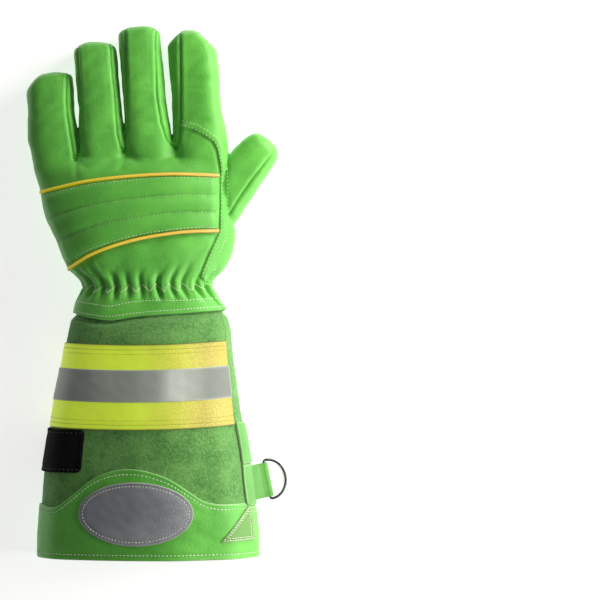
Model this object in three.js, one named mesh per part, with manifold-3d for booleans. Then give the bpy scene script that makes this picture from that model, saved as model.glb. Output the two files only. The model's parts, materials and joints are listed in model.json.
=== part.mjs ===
// Left-hand gauntlet work glove in green leather, lying palm down.
// Millimetres. +Z goes from the palm to the back, +Y to the fingertips and +X to the thumb side.
// The model is drawn from the middle of the wrist elastic and moved at the end,
// so that its origin is the bottom centre of its bounding box.
import * as THREE from "three";
import { mergeVertices } from "three/addons/utils/BufferGeometryUtils.js";
import Module from "manifold-3d";

const wasm = await Module();
wasm.setup();

// Hand
const PALM_LENGTH = 86.5;
const KNUCKLE_WIDTH = 126.5;
const WRIST_WIDTH = 82.5;
const HAND_HEIGHT = 38;
const HAND_LEAN = -11;
const BAND_LENGTH = 20;
const FINGER_HEIGHT = 26;
const THUMB_LENGTH = 67;
const THUMB_WIDTH = 27.5;
const THUMB_HEIGHT = 25;

// Cuff
const CUFF_LENGTH = 175.5;
const HEM_WIDTH = 143.5;
const CUFF_HEIGHT = 49;

// Walls, gaps and sewing
const LEATHER_WALL = 2;
const SUEDE_WALL = 1.8;
const PATCH_WALL = 1.2;
const TAPE_WALL = 0.8;
const SEAM_GAP = 0.4;
const LAYER_GAP = 0.3;
const TUCK_LENGTH = 8;
const GATHER_DEPTH = 1.3;
const GATHER_REACH = 17;

// Knuckle pad
const PAD_PUFF = 3.2;
const PIPING_DIAMETER = 2.4;

// Reflective tape, closure and hem
const TAPE_PLACE = 36;
const TAPE_WIDTH = 54.5;
const SILVER_WIDTH = 20.8;
const HOOK_PLACE = 91;
const HOOK_WIDTH = 28;
const BACKING_WIDTH = 33;
const STRAP_WALL = 1.6;
const STRAP_WIDTH = 47;
const STRAP_PLACE = 100.5;
const STRAP_ROOT_WIDTH = 27;
const STRAP_LENGTH = 74;
const STRAP_CORNER = 9;
const VEIN_PATCH_WIDTH = 81;
const VEIN_PATCH_LENGTH = 47;
const OVAL_WIDTH = 71;
const OVAL_HEIGHT = 41.5;
const CORNER_PATCH_SIZE = 24;

// Ring and its tab
const RING_WIDTH = 27.5;
const RING_DEPTH = 13.4;
const RING_WIRE = 1.8;
const RING_CORNER = 1.3;
const TAB_WIDTH = 22.6;
const TAB_LENGTH = 10;
const RING_PLACE = 126;
const RING_DROOP = 12;
const TAB_DROOP = 24;
const RING_TWIST = 11;
const RING_TURNS = 16;
const TAB_NECK = 4;
const TAB_HIDDEN = 6;

// Strips between the fingers: their height, and how far they reach below the knuckles
const STRIP_HEIGHT = 11;
const STRIP_ROOT = 4.5;

// A finger's or the thumb's widest line, and how far its underside passes the floor before it is
// cut flat there, both as shares of its height
const FINGER_MID = 0.46;
const FLATTENED = 1.04;

// Rounding of the lofted sections, and how finely they are cut
const SECTION_POWER = 2.5;
const FINGER_POWER = 2.8;
const COLUMNS = 40;
const FINGER_COLUMNS = 14;
const FINEST_DETAIL = 0.12;
const ROUND_SIDES = 6;
const FAR = 400;
const DEGREE = Math.PI / 180;

// Sections of the hand. along: share of PALM_LENGTH from the wrist; spread: 0 at the wrist's width,
// 1 at the knuckles'; lean: share of HAND_LEAN; bottom, top: shares of HAND_HEIGHT;
// mid: height of the widest line as a share of the section.
const HAND_SECTIONS = [
  { along: 0.0, spread: 0.0, lean: 0.0, bottom: 0.15, top: 1.08, mid: 0.4 },
  { along: 0.06, spread: 0.088, lean: 0.11, bottom: 0.12, top: 1.09, mid: 0.4 },
  { along: 0.13, spread: 0.37, lean: 0.17, bottom: 0.05, top: 1.09, mid: 0.38 },
  { along: 0.22, spread: 0.56, lean: 0.15, bottom: -0.02, top: 1.07, mid: 0.37 },
  { along: 0.34, spread: 0.725, lean: 0.2, bottom: -0.03, top: 1.04, mid: 0.36 },
  { along: 0.48, spread: 0.835, lean: 0.4, bottom: -0.03, top: 1.01, mid: 0.36 },
  { along: 0.63, spread: 0.908, lean: 0.66, bottom: -0.03, top: 0.97, mid: 0.36 },
  { along: 0.78, spread: 0.945, lean: 0.86, bottom: -0.03, top: 0.91, mid: 0.36 },
  { along: 0.9, spread: 0.965, lean: 0.95, bottom: -0.03, top: 0.82, mid: 0.38 },
  { along: 0.97, spread: 0.975, lean: 0.98, bottom: -0.01, top: 0.66, mid: 0.42 },
  { along: 1.0, spread: 0.97, lean: 1.0, bottom: 0.08, top: 0.48, mid: 0.5 },
];

// Sections of the cuff. along: share of CUFF_LENGTH from the wrist; spread: 0 at the wrist's width,
// 1 at the hem's; bottom, top: shares of CUFF_HEIGHT; mid as above.
const CUFF_SECTIONS = [
  { along: 0.0, spread: 0.0, bottom: 0.116, top: 0.838, mid: 0.4 },
  { along: 0.05, spread: 0.19, bottom: 0.12, top: 0.865, mid: 0.39 },
  { along: 0.1, spread: 0.287, bottom: 0.12, top: 0.91, mid: 0.37 },
  { along: 0.2, spread: 0.41, bottom: 0.13, top: 0.97, mid: 0.32 },
  { along: 0.35, spread: 0.54, bottom: 0.14, top: 1.0, mid: 0.25 },
  { along: 0.51, spread: 0.67, bottom: 0.145, top: 1.01, mid: 0.2 },
  { along: 0.67, spread: 0.825, bottom: 0.13, top: 0.99, mid: 0.15 },
  { along: 0.81, spread: 0.93, bottom: 0.085, top: 0.95, mid: 0.15 },
  { along: 0.92, spread: 0.99, bottom: 0.045, top: 0.91, mid: 0.16 },
  { along: 1.0, spread: 1.0, bottom: 0.028, top: 0.88, mid: 0.17 },
];

// Fingers. root: place of the centre as a share of KNUCKLE_WIDTH from the knuckles' centre;
// lean: sideways travel per millimetre of length; height: share of FINGER_HEIGHT.
const FINGERS = [
  { name: "little", root: -0.391, lean: -0.062, length: 53, width: 29.6, height: 0.94 },
  { name: "ring", root: -0.143, lean: -0.09, length: 73, width: 28.8, height: 1.0 },
  { name: "middle", root: 0.095, lean: -0.092, length: 84, width: 28.6, height: 1.02 },
  { name: "index", root: 0.362, lean: -0.089, length: 81, width: 33.4, height: 1.04 },
];

// Rounding of a fingertip. back: distance from the tip as a share of the finger's width;
// half: half the width as a share of the whole; rise: height as a share of the finger's.
const TIP_ROWS = [
  { back: 0.0, half: 0.26, rise: 0.42 },
  { back: 0.06, half: 0.37, rise: 0.63 },
  { back: 0.18, half: 0.435, rise: 0.82 },
  { back: 0.45, half: 0.47, rise: 0.95 },
];

// Thumb. along: share of THUMB_LENGTH from where it leaves the hand; turn: degrees from +Y;
// half, rise: shares of THUMB_WIDTH and THUMB_HEIGHT.
const THUMB_ROWS = [
  { along: -0.36, turn: 26, half: 0.44, rise: 0.96 },
  { along: 0.0, turn: 28, half: 0.475, rise: 1.0 },
  { along: 0.3, turn: 29, half: 0.497, rise: 1.0 },
  { along: 0.58, turn: 33, half: 0.482, rise: 0.98 },
  { along: 0.8, turn: 36, half: 0.42, rise: 0.9 },
  { along: 0.94, turn: 38, half: 0.3, rise: 0.7 },
  { along: 1.0, turn: 39, half: 0.14, rise: 0.42 },
];
const THUMB_START = { across: 0.33, along: 0.474 };
const THUMB_SEAM_SHIFT = 0.2;

// Folds of the cuff, each a long ridge down it. degrees: place around it; wide: degrees;
// high: millimetres for each millimetre of SUEDE_WALL; start: share of CUFF_LENGTH where it begins.
const CUFF_FOLDS = [
  { degrees: 88, wide: 9, high: 0.7, start: 0.1 },
  { degrees: 140, wide: 11, high: 0.45, start: 0.3 },
  { degrees: 48, wide: 10, high: 0.45, start: 0.35 },
  { degrees: 246, wide: 12, high: 0.6, start: 0.7 },
  { degrees: 297, wide: 12, high: 0.6, start: 0.7 },
];

// Seam of the index finger's back. across: share of the half width; along: share of PALM_LENGTH.
const INDEX_SEAM = [
  { across: 0.535, along: 1.21 },
  { across: 0.655, along: 1.187 },
  { across: 0.766, along: 1.145 },
  { across: 0.86, along: 1.097 },
  { across: 0.905, along: 1.037 },
  { across: 0.93, along: 0.9 },
  { across: 0.925, along: 0.8 },
  { across: 0.86, along: 0.42 },
  { across: 0.77, along: 0.24 },
  { across: 0.8, along: 0.09 },
];

// Edges of the knuckle pad. across: share of the section's half width, thumb side first.
const PAD_TOP = [
  { across: 0.9, along: 0.845 },
  { across: 0.4, along: 0.85 },
  { across: 0.0, along: 0.834 },
  { across: -0.44, along: 0.797 },
  { across: -0.756, along: 0.751 },
  { across: -0.95, along: 0.72 },
];
const PAD_BOTTOM = [
  { across: 0.83, along: 0.428 },
  { across: 0.5, along: 0.42 },
  { across: 0.22, along: 0.396 },
  { across: -0.06, along: 0.361 },
  { across: -0.36, along: 0.305 },
  { across: -0.62, along: 0.243 },
  { across: -0.82, along: 0.18 },
  { across: -0.95, along: 0.14 },
];

// Ribs of the pad. down: share of the way from the top edge to the bottom one;
// puff: share of PAD_PUFF.
const PAD_RIBS = [
  { down: 0.0, puff: 0.1 },
  { down: 0.09, puff: 0.6 },
  { down: 0.18, puff: 1.0 },
  { down: 0.3, puff: 0.7 },
  { down: 0.36, puff: 0.25 },
  { down: 0.42, puff: 0.7 },
  { down: 0.51, puff: 1.0 },
  { down: 0.6, puff: 0.7 },
  { down: 0.66, puff: 0.25 },
  { down: 0.72, puff: 0.7 },
  { down: 0.83, puff: 0.95 },
  { down: 0.92, puff: 0.6 },
  { down: 1.0, puff: 0.1 },
];
const PAD_COLUMNS = 11;

const PAD_END_SLOPE = 8;
const PIPING_STEPS = 18;

// Seam around the hand, between back and palm. along: share of PALM_LENGTH.
const SEAM_ROWS = [0, 0.1, 0.2, 0.35, 0.5, 0.7, 0.85, 1];

// Seam across the roots of the middle and ring fingers, as a share of PALM_LENGTH
const FRONT_SEAM = 0.915;

// Top edge of the hem panel. across: share of HEM_WIDTH / 2; along: share of CUFF_LENGTH.
const HEM_WAVE = [
  { across: -1.1, along: 0.8 },
  { across: -0.96, along: 0.802 },
  { across: -0.81, along: 0.806 },
  { across: -0.63, along: 0.75 },
  { across: -0.49, along: 0.703 },
  { across: -0.35, along: 0.675 },
  { across: -0.19, along: 0.662 },
  { across: -0.03, along: 0.665 },
  { across: 0.12, along: 0.681 },
  { across: 0.24, along: 0.702 },
  { across: 0.41, along: 0.749 },
  { across: 0.51, along: 0.778 },
  { across: 0.62, along: 0.791 },
  { across: 0.75, along: 0.794 },
  { across: 1.1, along: 0.795 },
];
const OVAL_PLACE = { across: -0.091, along: 0.827 };
const CORNER_PLACE = { across: 0.93, along: 0.94 };
const HEM_START = 0.62;
const OVAL_SIDES = 26;

// Outline of the corner patch, as shares of CORNER_PATCH_SIZE from its outer corner
const CORNER_OUTLINE = [
  { across: 0.0, along: 0.0 },
  { across: -0.1, along: 1.0 },
  { across: -0.92, along: -0.03 },
];

// The half-round patch: its middle as a share of its width, and how full its curve is
const VEIN_SHIFT = 0.06;
const VEIN_POWER = 0.85;

// Where the strap's root begins, as a share of the cuff's half width; its shoulders' rounding as a
// share of the step in width; and where it steps down past an edge below it, in degrees
const STRAP_ROOT_START = 0.82;
const STRAP_SHOULDER = 0.4;
const STEP_CLEAR = 2;
const STEP_TURN = 12;

// Where pieces begin and end around the cuff, in degrees from the thumb side over the back
const SEAM_THUMB = 24;
const SEAM_LITTLE = 212;
const LITTLE_SIDE = 180;
const TAPE_END = 26;
const HOOK_START = 124;
const HOOK_END = 292;
const BACKING_START = 220;
const BACKING_END = 325;
const STRAP_START = 230;

// Materials
const leatherGreen = () => new THREE.MeshStandardMaterial({ color: "#56b246", roughness: 0.5 });
const suedeGreen = () => new THREE.MeshStandardMaterial({ color: "#5a9c50", roughness: 0.95 });
const tapeYellow = () => new THREE.MeshStandardMaterial({ color: "#d8e04a", roughness: 0.6 });
const tapeSilver = () => new THREE.MeshStandardMaterial({ color: "#8f9a98", roughness: 0.4 });
const hookBlack = () => new THREE.MeshStandardMaterial({ color: "#161616", roughness: 0.9 });
const pipingYellow = () => new THREE.MeshStandardMaterial({ color: "#f2dc4c", roughness: 0.55 });
const ovalGrey = () => new THREE.MeshStandardMaterial({ color: "#70727c", roughness: 0.7 });
const ringSteel = () =>
  new THREE.MeshStandardMaterial({ color: "#5a5d60", roughness: 0.35, metalness: 1 });

const mix = (a, b, t) => a + (b - a) * t;
const clamp = (v, low, high) => Math.min(high, Math.max(low, v));
const smooth = (a, b, v) => {
  const t = clamp((v - a) / (b - a), 0, 1);
  return t * t * (3 - 2 * t);
};
const power = (v, p) => Math.sign(v) * Math.abs(v) ** p;

// Value of a column at a place, by a smooth curve through the table's rows
function between(rows, key, column, at) {
  const last = rows.length - 1;
  const t = clamp(at, rows[0][key], rows[last][key]);
  let i = 0;
  while (i < last - 1 && t > rows[i + 1][key]) i += 1;
  const slope = (k) => {
    const a = rows[Math.max(k - 1, 0)];
    const b = rows[Math.min(k + 1, last)];
    return (b[column] - a[column]) / (b[key] - a[key]);
  };
  const span = rows[i + 1][key] - rows[i][key];
  const s = (t - rows[i][key]) / span;
  const a = rows[i][column];
  const b = rows[i + 1][column];
  const ease = s * s * (3 - 2 * s);
  const leave = s * (1 - s) * (1 - s) * span * slope(i);
  const arrive = s * s * (s - 1) * span * slope(i + 1);
  return mix(a, b, ease) + leave + arrive;
}

// Section of the hand (y above the wrist) or of the cuff (y below it)
function section(y) {
  const hand = y > 0;
  const rows = hand ? HAND_SECTIONS : CUFF_SECTIONS;
  const at = hand ? y / PALM_LENGTH : -y / CUFF_LENGTH;
  const value = (column) => between(rows, "along", column, at);
  const wristTop = HAND_HEIGHT * HAND_SECTIONS[0].top - CUFF_HEIGHT * CUFF_SECTIONS[0].top;
  const wristBottom = HAND_HEIGHT * HAND_SECTIONS[0].bottom - CUFF_HEIGHT * CUFF_SECTIONS[0].bottom;
  const near = hand ? 0 : 1 - smooth(0, BAND_LENGTH, -y);
  const full = hand ? HAND_HEIGHT : CUFF_HEIGHT;
  const bottom = full * value("bottom") + wristBottom * near;
  const top = full * value("top") + wristTop * near;
  return {
    centre: hand ? HAND_LEAN * value("lean") : 0,
    half: mix(WRIST_WIDTH, hand ? KNUCKLE_WIDTH : HEM_WIDTH, value("spread")) / 2,
    bottom,
    top,
    mid: mix(bottom, top, value("mid")),
  };
}

// Gathers at the elastic: as many folds as half the columns, so they fall on the lattice
function gather(angle, y) {
  const reach = y > 0 ? GATHER_REACH : BAND_LENGTH / 2;
  const near = 1 - smooth(0, reach, Math.abs(y));
  const turns = ((((angle * COLUMNS) / (2 * Math.PI)) % 2) + 2) % 2;
  return GATHER_DEPTH * near * (2 * Math.abs(1 - turns) - 1);
}

function fold(angle, y) {
  let high = 0;
  for (const row of CUFF_FOLDS) {
    const away = (angle / DEGREE - row.degrees) / row.wide;
    const along = smooth(row.start, row.start + 0.15, -y / CUFF_LENGTH);
    high += row.high * SUEDE_WALL * along * Math.exp(-away * away);
  }
  return high;
}

// A point of the hand and cuff's outer surface, moved outwards by an offset
function skin(angle, y, offset) {
  const s = section(y);
  const out = offset + gather(angle, y) + fold(angle, y);
  const c = power(Math.cos(angle), 2 / SECTION_POWER);
  const n = power(Math.sin(angle), 2 / SECTION_POWER);
  const rise = n > 0 ? s.top - s.mid : s.mid - s.bottom;
  return new THREE.Vector3(s.centre + (s.half + out) * c, y, s.mid + (rise + out) * n);
}

// The angle around the back of the section of a share of its half width
const angleAt = (across) => Math.acos(clamp(power(across, SECTION_POWER / 2), -1, 1));

// The suede cuff starts inside the leather band and comes out below it
function tuck(y) {
  return -(LEATHER_WALL + LAYER_GAP * 2) * smooth(-BAND_LENGTH - 6, -BAND_LENGTH - 0.5, y);
}

const cuffSkin = (angle, y, offset) => skin(angle, y, offset + tuck(y));

// Solids
function solid(points, faces) {
  let volume = 0;
  for (let i = 0; i < faces.length; i += 3) {
    const [a, b, c] = [points[faces[i]], points[faces[i + 1]], points[faces[i + 2]]];
    volume += a.dot(new THREE.Vector3().crossVectors(b, c));
  }
  const turned = volume > 0 ? faces : faces.toReversed();
  const vertProperties = new Float32Array(points.flatMap((p) => [p.x, p.y, p.z]));
  const mesh = new wasm.Mesh({ numProp: 3, vertProperties, triVerts: new Uint32Array(turned) });
  return new wasm.Manifold(mesh);
}

// A closed solid through rings of points, with a fan over each end
function loft(rings) {
  const count = rings[0].length;
  const points = rings.flat();
  const faces = [];
  rings.slice(1).forEach((ring, r) => {
    for (let i = 0; i < count; i += 1) {
      const j = (i + 1) % count;
      const [a, b] = [r * count + i, r * count + j];
      faces.push(a, b, b + count, a, b + count, a + count);
    }
  });
  const end = points.length - count;
  for (const [start, flip] of [[0, false], [end, true]]) {
    const centre = new THREE.Vector3();
    points.slice(start, start + count).forEach((p) => centre.addScaledVector(p, 1 / count));
    const hub = points.push(centre) - 1;
    for (let i = 0; i < count; i += 1) {
      const pair = [start + i, start + ((i + 1) % count)];
      faces.push(hub, ...(flip ? pair : pair.reverse()));
    }
  }
  return solid(points, faces);
}

// A closed slab between two grids of points
function slab(front, back) {
  const [rows, columns] = [front.length, front[0].length];
  const points = [...front.flat(), ...back.flat()];
  const under = rows * columns;
  const faces = [];
  const quad = (a, b, c, d) => faces.push(a, b, c, a, c, d);
  for (let r = 0; r + 1 < rows; r += 1) {
    for (let c = 0; c + 1 < columns; c += 1) {
      const a = r * columns + c;
      const d = a + columns;
      quad(a, a + 1, d + 1, d);
      faces.push(a + under, d + 1 + under, a + 1 + under);
      faces.push(a + under, d + under, d + 1 + under);
    }
  }
  const wall = (p, q) => quad(q, p, p + under, q + under);
  const lastRow = under - columns;
  for (let c = 0; c + 1 < columns; c += 1) {
    wall(c, c + 1);
    wall(lastRow + c + 1, lastRow + c);
  }
  for (let r = 0; r + 1 < rows; r += 1) {
    wall((r + 1) * columns - 1, (r + 2) * columns - 1);
    wall((r + 1) * columns, r * columns);
  }
  return solid(points, faces);
}

function fromGeometry(geometry) {
  geometry.deleteAttribute("normal");
  geometry.deleteAttribute("uv");
  const merged = mergeVertices(geometry, 1e-4);
  const vertProperties = new Float32Array(merged.attributes.position.array);
  const triVerts = new Uint32Array(merged.index.array);
  return new wasm.Manifold(new wasm.Mesh({ numProp: 3, vertProperties, triVerts }));
}

const prism = (outline, low, high) => {
  const shape = new THREE.Shape(outline.map(([x, y]) => new THREE.Vector2(x, y)));
  const geometry = new THREE.ExtrudeGeometry(shape, { depth: high - low, bevelEnabled: false });
  return fromGeometry(geometry.translate(0, 0, low));
};

// An outline in y and z, carried right across the glove
const crossPrism = (outline) => {
  const shape = new THREE.Shape(outline.map(([y, z]) => new THREE.Vector2(y, z)));
  const geometry = new THREE.ExtrudeGeometry(shape, { depth: 2 * FAR, bevelEnabled: false });
  const turn = new THREE.Matrix4().makeBasis(
    new THREE.Vector3(0, 1, 0),
    new THREE.Vector3(0, 0, 1),
    new THREE.Vector3(1, 0, 0),
  );
  return fromGeometry(geometry.applyMatrix4(turn).translate(-FAR, 0, 0));
};

// Lattice angles between two ends, with the ends themselves
function anglesBetween(from, to) {
  const step = (2 * Math.PI) / COLUMNS;
  const first = Math.ceil((from + step / 8) / step);
  const angles = [from];
  for (let i = first; i * step < to - step / 8; i += 1) angles.push(i * step);
  return [...angles, to];
}

const CUFF_LATTICE = [
  -BAND_LENGTH + TUCK_LENGTH,
  -BAND_LENGTH - 0.5,
  -BAND_LENGTH - 2.5,
  -BAND_LENGTH - 6,
  ...CUFF_SECTIONS.map((row) => -row.along * CUFF_LENGTH).filter((y) => y < -BAND_LENGTH - 8),
];

// Lattice rows of the cuff between two places, with the places themselves
function rowsBetween(high, low) {
  return [high, ...CUFF_LATTICE.filter((y) => y < high - 0.5 && y > low + 0.5), low];
}

// A sheet on the cuff, between two offsets from its surface that may change around it
function cuffSheet({ from, to, high, low, inner, outer }) {
  const offset = (v, angle) => (typeof v === "function" ? v(angle / DEGREE) : v);
  const angles = anglesBetween(from * DEGREE, to * DEGREE);
  const grid = (v) =>
    rowsBetween(high, low).map((y) => angles.map((a) => cuffSkin(a, y, offset(v, a))));
  return slab(grid(outer), grid(inner));
}

// Hand solids at an offset from the outer surface
const aboveFloor = (body, height) => body.trimByPlane([0, 0, 1], height);

function handBody(offset, below) {
  const band = CUFF_SECTIONS.map((row) => -row.along * CUFF_LENGTH);
  const hand = HAND_SECTIONS.slice(0, -1).map((row) => row.along * PALM_LENGTH);
  const rows = [
    -BAND_LENGTH - below,
    ...band.filter((y) => y < 0 && y > -BAND_LENGTH + LEATHER_WALL).reverse(),
    ...hand,
    PALM_LENGTH + offset,
  ];
  const angles = Array.from({ length: COLUMNS }, (_, i) => (i * 2 * Math.PI) / COLUMNS);
  return loft(rows.map((y) => angles.map((a) => skin(a, y, offset))));
}

const fingerRoot = (finger) => HAND_LEAN + finger.root * KNUCKLE_WIDTH;
const fingerLine = (finger, y) => fingerRoot(finger) + finger.lean * (y - PALM_LENGTH);

// A ring of points around a finger, each made from how far it lies across and up
function fingerRing(point) {
  return Array.from({ length: FINGER_COLUMNS }, (_, i) => {
    const angle = (i * 2 * Math.PI) / FINGER_COLUMNS;
    const across = power(Math.cos(angle), 2 / FINGER_POWER);
    return point(across, power(Math.sin(angle), 2 / FINGER_POWER));
  });
}

function fingerSolid(finger, offset) {
  const height = finger.height * FINGER_HEIGHT;
  const middle = height * FINGER_MID;
  const tip = PALM_LENGTH + finger.length;
  const rows = TIP_ROWS.map((row) => ({ ...row, y: tip - row.back * finger.width + offset }));
  rows.push({ y: PALM_LENGTH + finger.length * 0.25, half: 0.49, rise: 1 });
  rows.push({ y: PALM_LENGTH - finger.width * 0.35, half: 0.47, rise: 1 });
  return loft(
    rows.toReversed().map(({ y, half, rise }) => {
      const up = (height - middle) * rise + offset;
      const down = middle * FLATTENED * rise + offset;
      return fingerRing((c, n) => {
        const x = fingerLine(finger, y) + (half * finger.width + offset) * c;
        return new THREE.Vector3(x, y, middle + (n > 0 ? up : down) * n);
      });
    }),
  );
}

// The thumb's centre line: it leaves the hand's side and turns outwards
function thumbLine() {
  const at = new THREE.Vector2(
    THUMB_START.across * KNUCKLE_WIDTH,
    THUMB_START.along * PALM_LENGTH,
  );
  const places = [];
  let walked = THUMB_ROWS[0].along;
  const first = THUMB_ROWS[0].turn * DEGREE;
  at.x += Math.sin(first) * walked * THUMB_LENGTH;
  at.y += Math.cos(first) * walked * THUMB_LENGTH;
  for (const row of THUMB_ROWS) {
    const step = (row.along - walked) * THUMB_LENGTH;
    at.x += Math.sin(row.turn * DEGREE) * step;
    at.y += Math.cos(row.turn * DEGREE) * step;
    walked = row.along;
    places.push({ x: at.x, y: at.y, turn: row.turn * DEGREE, row });
  }
  return places;
}

function thumbSolid(offset) {
  const last = THUMB_ROWS.length - 1;
  const middle = THUMB_HEIGHT * FINGER_MID;
  return loft(
    thumbLine().map(({ x, y, turn, row }, k) => {
      const along = k === last ? offset : 0;
      const half = Math.max(row.half * THUMB_WIDTH + offset, LAYER_GAP);
      const up = (THUMB_HEIGHT - middle) * row.rise + offset;
      const down = middle * FLATTENED * row.rise + offset;
      return fingerRing((c, n) => {
        const px = x + half * c * Math.cos(turn) + along * Math.sin(turn);
        const py = y - half * c * Math.sin(turn) + along * Math.cos(turn);
        return new THREE.Vector3(px, py, middle + (n > 0 ? up : down) * n);
      });
    }),
  );
}

// The hand and fingers as one solid, cut flat where they lie on the floor
function handSolid(offset, below = 0) {
  let body = handBody(offset, below);
  for (const finger of FINGERS) body = body.add(fingerSolid(finger, offset));
  return aboveFloor(body, -offset);
}

const handOuter = handSolid(0);
const thumbOuter = aboveFloor(thumbSolid(0), 0);
const thumbInner = LEATHER_WALL + SEAM_GAP;
const thumbHole = aboveFloor(thumbSolid(-thumbInner), thumbInner);
const handInner = handSolid(-LEATHER_WALL, LEATHER_WALL);
const handShell = handOuter.subtract(handInner).subtract(thumbHole);

// Height at which the hand's back and palm are sewn together
const FINGER_SEAM = FINGER_HEIGHT * FINGER_MID;
const seamHeight = (y) => mix(section(y).mid, FINGER_SEAM, smooth(0.6, 1, y / PALM_LENGTH));
const seamPlaces = [-FAR, -BAND_LENGTH, ...SEAM_ROWS.map((share) => share * PALM_LENGTH), FAR];
const seamLine = (shift) =>
  seamPlaces.map((y) => [y, seamHeight(clamp(y, -BAND_LENGTH, PALM_LENGTH)) + shift]);
const backSpace = crossPrism([...seamLine(SEAM_GAP / 2), [FAR, FAR], [-FAR, FAR]]);
const palmSpace = crossPrism([...seamLine(-SEAM_GAP / 2), [FAR, -FAR], [-FAR, -FAR]]);

// The strips between neighbouring fingers
function stripSpace(k, grow) {
  const [a, b] = [FINGERS[k], FINGERS[k + 1]];
  const low = PALM_LENGTH - STRIP_ROOT - grow;
  const high = PALM_LENGTH + Math.max(a.length, b.length);
  const outline = [
    [fingerLine(a, low) - grow, low],
    [fingerLine(b, low) + grow, low],
    [fingerLine(b, high) + grow, high],
    [fingerLine(a, high) - grow, high],
  ];
  const half = STRIP_HEIGHT / 2 + grow;
  return prism(outline, FINGER_SEAM - half, FINGER_SEAM + half);
}

// A line moved sideways by a distance
function shifted(line, distance) {
  return line.map(([x, y], i) => {
    const [ax, ay] = line[Math.max(i - 1, 0)];
    const [bx, by] = line[Math.min(i + 1, line.length - 1)];
    const length = Math.hypot(bx - ax, by - ay);
    return [x + (distance * (by - ay)) / length, y - (distance * (bx - ax)) / length];
  });
}

const indexLine = INDEX_SEAM.map(({ across, along }) => {
  const s = section(Math.min(along, 1) * PALM_LENGTH);
  return [s.centre + across * s.half, along * PALM_LENGTH];
});
function indexSpace(grow) {
  const line = shifted(indexLine, grow);
  const [startY, endY] = [indexLine[0][1], indexLine[indexLine.length - 1][1]];
  const middleEdge = fingerLine(FINGERS[2], startY) + FINGERS[2].width / 2;
  const indexEdge = fingerLine(FINGERS[3], startY) - FINGERS[3].width / 2;
  const gap = (middleEdge + indexEdge) / 2;
  const far = gap + FINGERS[3].lean * FINGERS[3].length;
  return prism(
    [
      [far, FAR],
      [gap, startY - grow],
      ...line.slice(1, -1),
      [line[line.length - 1][0], endY - grow],
      [FAR, endY - grow],
      [FAR, FAR],
    ],
    -FAR,
    FAR,
  );
}

// The front of the middle and ring fingers, above the seam across their roots
function frontSpace(grow) {
  const low = FRONT_SEAM * PALM_LENGTH - grow;
  const side = (a, b, y) => (fingerLine(FINGERS[a], y) + fingerLine(FINGERS[b], y)) / 2;
  return prism(
    [
      [side(0, 1, low) - grow, low],
      [side(2, 3, low) + grow, low],
      [side(2, 3, FAR) + grow, FAR],
      [side(0, 1, FAR) - grow, FAR],
    ],
    -FAR,
    FAR,
  );
}

// The thumb is two halves, with a slanting seam from the outer top edge to the middle below
const handSpace = handSolid(LAYER_GAP, LEATHER_WALL);
const thumbShell = thumbOuter
  .subtract(aboveFloor(thumbSolid(-LEATHER_WALL), LEATHER_WALL))
  .subtract(handSpace);
function thumbSpace(side) {
  const [root, tip] = [thumbLine()[1], thumbLine()[4]];
  const along = new THREE.Vector3(tip.x - root.x, tip.y - root.y, 0).normalize();
  const out = new THREE.Vector3(along.y, -along.x, 0);
  const lineTop = THUMB_WIDTH * THUMB_SEAM_SHIFT + (side * SEAM_GAP) / 2;
  const lineLow = (side * SEAM_GAP) / 2;
  const shape = new THREE.Shape([
    new THREE.Vector2(lineLow, -THUMB_HEIGHT),
    new THREE.Vector2(side * FAR, -THUMB_HEIGHT),
    new THREE.Vector2(side * FAR, THUMB_HEIGHT * 2),
    new THREE.Vector2(lineTop, THUMB_HEIGHT * 2),
    new THREE.Vector2(lineTop, THUMB_HEIGHT),
    new THREE.Vector2(lineLow, 0),
  ]);
  const geometry = new THREE.ExtrudeGeometry(shape, { depth: 2 * FAR, bevelEnabled: false });
  const up = new THREE.Vector3(0, 0, 1);
  const turn = new THREE.Matrix4().makeBasis(out, up, new THREE.Vector3().crossVectors(out, up));
  geometry.translate(0, 0, -FAR).applyMatrix4(turn).translate(root.x, root.y, 0);
  return fromGeometry(geometry);
}

// The parts of the hand
const strips = [0, 1, 2].map((k) => handShell.intersect(stripSpace(k, 0)));
let upper = handShell.intersect(backSpace);
let lower = handShell.intersect(palmSpace);
for (const k of [0, 1, 2]) {
  upper = upper.subtract(stripSpace(k, SEAM_GAP));
  lower = lower.subtract(stripSpace(k, SEAM_GAP));
}

// Knuckle pad: a ribbed, padded panel between two pipings
function edgeRow(rows, share) {
  const across = mix(rows[0].across, rows[rows.length - 1].across, share);
  const turned = rows.toReversed();
  return { across, y: between(turned, "across", "along", across) * PALM_LENGTH };
}

function padPoint(share, down, offset) {
  const [a, b] = [edgeRow(PAD_TOP, share), edgeRow(PAD_BOTTOM, share)];
  return skin(angleAt(mix(a.across, b.across, down)), mix(a.y, b.y, down), offset);
}

function padSolid() {
  const inset = PIPING_DIAMETER / 2 + LAYER_GAP;
  const padHeight = (PAD_TOP[2].along - PAD_BOTTOM[3].along) * PALM_LENGTH;
  const margin = inset / padHeight;
  const grid = (cover) =>
    PAD_RIBS.map(({ down, puff }) =>
      Array.from({ length: PAD_COLUMNS + 1 }, (_, i) => {
        const share = i / PAD_COLUMNS;
        const ease = Math.min(1, PAD_END_SLOPE * Math.min(share, 1 - share));
        const offset = cover ? LAYER_GAP + PATCH_WALL + PAD_PUFF * puff * ease : -LEATHER_WALL;
        return padPoint(share, mix(margin, 1 - margin, down), offset);
      }),
    );
  return slab(grid(true), grid(false)).subtract(handSpace);
}

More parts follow.
